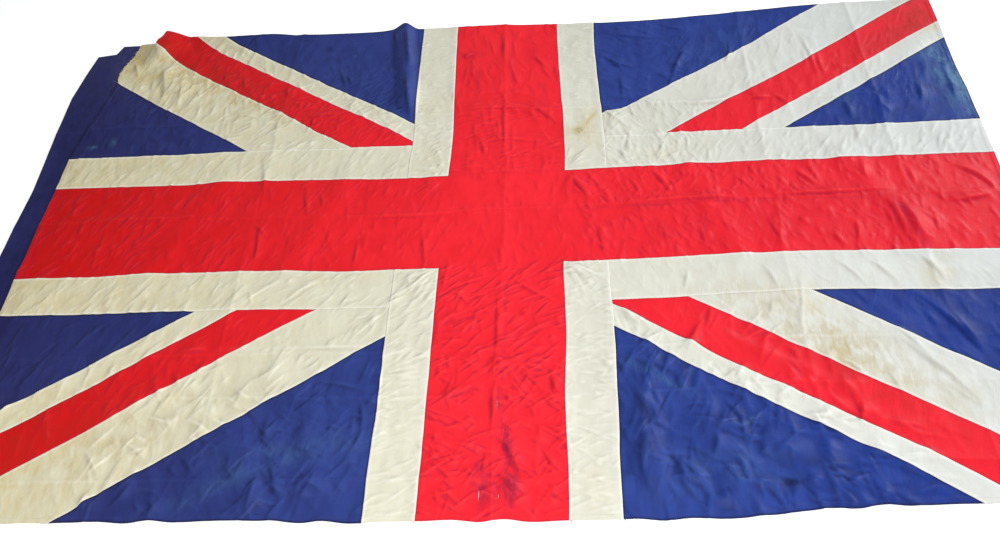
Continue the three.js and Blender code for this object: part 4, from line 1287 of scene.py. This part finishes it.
def add_loose_threads():
    rng = np.random.default_rng(SEEDS["loose threads"])
    for colour, (low, high), count in FRINGE:
        for share in rng.uniform(*FRINGE_SPAN, count):
            start = np.array(low) + share * np.subtract(high, low) + (FRINGE_INSET, 0)
            height = GROUND + HEADING_RISE + CLOTH / 2 + sample(TERRAIN, *start[:, None])[0]
            lowest = max(0.0, height - FRINGE_DROP)
            angle = math.radians(rng.normal(*FRINGE_DIRECTION))
            length = rng.uniform(*FRINGE_LENGTH)
            add_loose_thread(rng, colour, start, angle, length, height)
            raised = lowest * MM * np.linspace(0, 1, THREAD_JOINTS) ** DROOP
            loose_threads[colour][-1][:, 2] += raised
    for colour, start, degrees, length in HEM_ENDS:
        height = GROUND + sample(TERRAIN, *np.array(start)[:, None])[0]
        add_loose_thread(rng, colour, start, math.radians(degrees), length, height)


def tube_mesh(paths):
    """Points and triangles of thin tubes along paths, narrowing towards their ends."""
    turns = np.arange(TUBE_SIDES) * 2 * math.pi / TUBE_SIDES
    points, faces = [], []
    for path in paths:
        ahead = np.gradient(path, axis=0)
        ahead /= np.linalg.norm(ahead, axis=1)[:, None]
        side = np.cross(ahead, (0, 0, 1))
        side /= np.linalg.norm(side, axis=1)[:, None]
        up = np.cross(side, ahead)
        radius = THREAD_RADIUS * MM * np.linspace(1, THREAD_TIP, len(path))
        first = len(points) * TUBE_SIDES
        for k in range(len(path)):
            around = np.cos(turns)[:, None] * side[k] + np.sin(turns)[:, None] * up[k]
            points.append(path[k] + radius[k] * around)
        for k in range(len(path) - 1):
            for a in range(TUBE_SIDES):
                b = (a + 1) % TUBE_SIDES
                low, high = first + k * TUBE_SIDES, first + (k + 1) * TUBE_SIDES
                faces += [(low + a, low + b, high + b), (low + a, high + b, high + a)]
        last = first + (len(path) - 1) * TUBE_SIDES
        faces += [(first, first + 2, first + 1), (first, first + 3, first + 2)]
        faces += [(last, last + 1, last + 2), (last, last + 2, last + 3)]
    return np.vstack(points), np.array(faces)


# ---- the cloths ----


def add_red_cross():
    arm = [right_of(-RED_HALF, "under"), left_of(RED_HALF, "under")]
    ends = [right_of(HOIST_END, "hem"), left_of(FLY_END, "hem")]
    band = ends + [above(-RED_HALF, "under"), below(RED_HALF, "under")]
    add_cloth("red_band", "red", "band", band)
    add_cloth("red_arm_top", "red", "red", arm + [above(RED_HALF, "under"), below(TOP_HEM, "hem")])
    lower = arm + [above(BOTTOM_HEM, "hem"), below(-RED_HALF, "under")]
    add_cloth("red_arm_bottom", "red", "red", lower, slit=True)


def quarter_limits(signs, from_u, from_v, inner_u, inner_v):
    """Limits of everything in one quarter beyond given distances from the middle."""
    across, up = signs
    if across > 0:
        sideways = [right_of(from_u, inner_u), left_of(FLY_END, "hem")]
    else:
        sideways = [left_of(-from_u, inner_u), right_of(HOIST_END, "hem")]
    if up > 0:
        return sideways + [above(from_v, inner_v), below(TOP_HEM, "hem")]
    return sideways + [below(-from_v, inner_v), above(BOTTOM_HEM, "hem")]


def add_white_borders(quarter, signs):
    across, up = signs
    beside = left_of(WHITE_HALF_U, "over") if across > 0 else right_of(-WHITE_HALF_U, "over")
    along = below(WHITE_HALF_V, "over") if up > 0 else above(-WHITE_HALF_V, "over")
    upright = quarter_limits(signs, RED_HALF, RED_HALF, "over", "over") + [beside]
    upright = [edge for edge in upright if edge["kind"] != "hem" or abs(edge["nu"]) < TINY]
    add_cloth("white_upright_" + quarter, "white", "upright", upright)
    bar = quarter_limits(signs, WHITE_HALF_U, RED_HALF, "under", "over") + [along]
    bar = [edge for edge in bar if edge["kind"] != "hem" or abs(edge["nv"]) < TINY]
    add_cloth("white_bar_" + quarter, "white", "bar", bar)


def add_quarter_field(quarter, signs):
    """The five cloths that fill a quarter, between four slanting seams."""
    across, up = signs
    field = quarter_limits(signs, WHITE_HALF_U, WHITE_HALF_V, "under", "under")
    seams = DIAGONAL_SEAMS[quarter]

    def near(k, kind):
        return limit(-SLOPE * across, up, seams[k], kind)

    def beyond(k, kind):
        return limit(SLOPE * across, -up, -seams[k], kind)

    broad, narrow = "broad_white_" + quarter, "narrow_white_" + quarter
    first, second = (broad, narrow) if across != up else (narrow, broad)
    blue_end, white_end, red_end = [], [], []
    if quarter == "tl":
        blue_end = [right_of_line(HOIST_SLANT, "hem")]
        white_end = [right_of_line(WHITE_RAW_END, "raw"), right_of_line(WHITE_RAW_TIP, "cut")]
        red_end = [right_of_line(RED_RAW_END, "raw")]
    blue = field + blue_end + [near(0, "under")]
    white = field + white_end + [beyond(0, "over"), near(1, "over")]
    add_cloth("blue_end_" + quarter, "blue", "blue", blue)
    add_cloth(first, "white", "diagonal", white)
    red = field + red_end + [beyond(1, "under"), near(2, "under")]
    add_cloth("red_diagonal_" + quarter, "red", "red", red)
    add_cloth(second, "white", "diagonal", field + [beyond(2, "over"), near(3, "over")])
    add_cloth("blue_edge_" + quarter, "blue", "blue", field + [beyond(3, "under")])


# ---- the heading: a doubled strip of blue under the hoist end ----

HEADING_THICKNESS = 1.1
HEADING_GROUND = 0.2
HEADING_SWELL = 0.5  # share of the terrain that the free strip follows
HEADING_FREE = (1.2, 0.8)  # units past the flag's end where that begins, and over which
HEADING_HEM = 0.35
HEADING_HEM_AT = (-25.4, 0.2)  # place along u and half width


def add_heading():
    """Columns run across the strip here, so u and v change places while it is meshed."""
    outline = [(v, u) for u, v in HEADING_OUTLINE]
    low, high = min(v for v, _ in outline), max(v for v, _ in outline)
    firm = sorted({v for v, _ in outline})
    stations = thinned(firm, grid_stops(low, high), low, high)
    full = [(v, column_points(outline, [], v)) for v in stations]
    sparse = [(v, sparse_points(outline, v)) for v in stations]
    sparse[0], sparse[-1] = full[0], full[-1]
    (upper, faces), (lower, lower_faces) = join_columns(full), join_columns(sparse)
    upper, lower = upper[:, ::-1], lower[:, ::-1]
    past, over = HEADING_FREE
    hem_at, hem_half = HEADING_HEM_AT
    free = fade((upper[:, 0] - HOIST_END + past) / over)
    hem = HEADING_HEM * fade(np.abs(upper[:, 0] - hem_at) / hem_half)
    top = HEADING_THICKNESS + HEADING_SWELL * free * sample(TERRAIN, *upper.T) + hem
    bottom = np.full(len(lower), HEADING_GROUND)
    points, everything, smooth = close_sheet(
        upper, lower, faces[:, ::-1], lower_faces[:, ::-1], top, bottom)
    piece = mesh_object("heading_cloth", points, everything, CLOTHS["blue"], smooth)
    colour_attributes(piece, [], "blue", *np.vstack([upper, lower]).T)
    finish_sheet(piece, "heading")


FLOOR_GLOW = 0.26  # keeps the plain floor pale away from the window
FLOOR_SIZE = 40  # metres
FLOOR_COLOURS = ((0.93, 0.93, 0.93, 1), (0.90, 0.90, 0.90, 1))


def add_floor():
    nodes = Nodes("pale_floor")
    grain = nodes.noise(3.0, 4.0)
    colour = nodes.mix(grain, *FLOOR_COLOURS)
    nodes.link(colour, nodes.shader.inputs["Base Color"])
    nodes.shader.inputs["Roughness"].default_value = 0.8
    nodes.shader.inputs["Emission Color"].default_value = (1, 1, 1, 1)
    nodes.shader.inputs["Emission Strength"].default_value = FLOOR_GLOW
    corners = np.array([(-1, -1, 0), (1, -1, 0), (1, 1, 0), (-1, 1, 0)]) * FLOOR_SIZE / 2
    floor = mesh_object("floor", corners, np.array([(0, 1, 2, 3)]), nodes.material, [False])


add_floor()
add_heading()
add_red_cross()
for quarter_name, quarter_signs in QUARTER_SIGNS.items():
    add_white_borders(quarter_name, quarter_signs)
    add_quarter_field(quarter_name, quarter_signs)
add_loose_threads()
stitch_meshes()

# ---- soft studio light ----

LIGHTS = (  # name, place and target in metres from the cross, size in metres, watts, colour
    ("window", (6.8, 5.2, 3.4), (0.2, 0.0, 0.0), 2.0, 760, (0.92, 0.97, 1.0)),
    ("room", (0.3, -2.4, 2.5), (0.0, -0.2, 0.0), 0.9, 100, (1.0, 0.985, 0.96)),
)
SKY = (0.95, 0.97, 1.0, 1.0)
SKY_STRENGTH = 0.34


def add_lights():
    for name, at, target, size, watts, colour in LIGHTS:
        data = bpy.data.lights.new(name, "AREA")
        data.shape = "DISK"
        data.size = size
        data.energy = watts
        data.color = colour
        light = bpy.data.objects.new(name, data)
        light.location = CENTRE + Vector(at)
        aim = Vector(target) - Vector(at)
        light.rotation_euler = aim.to_track_quat("-Z", "Y").to_euler()
        bpy.context.scene.collection.objects.link(light)
    world = bpy.data.worlds.new("studio")
    world.use_nodes = True
    background = world.node_tree.nodes["Background"]
    background.inputs["Color"].default_value = SKY
    background.inputs["Strength"].default_value = SKY_STRENGTH
    bpy.context.scene.world = world


add_lights()
bpy.context.scene.view_settings.view_transform = "Standard"
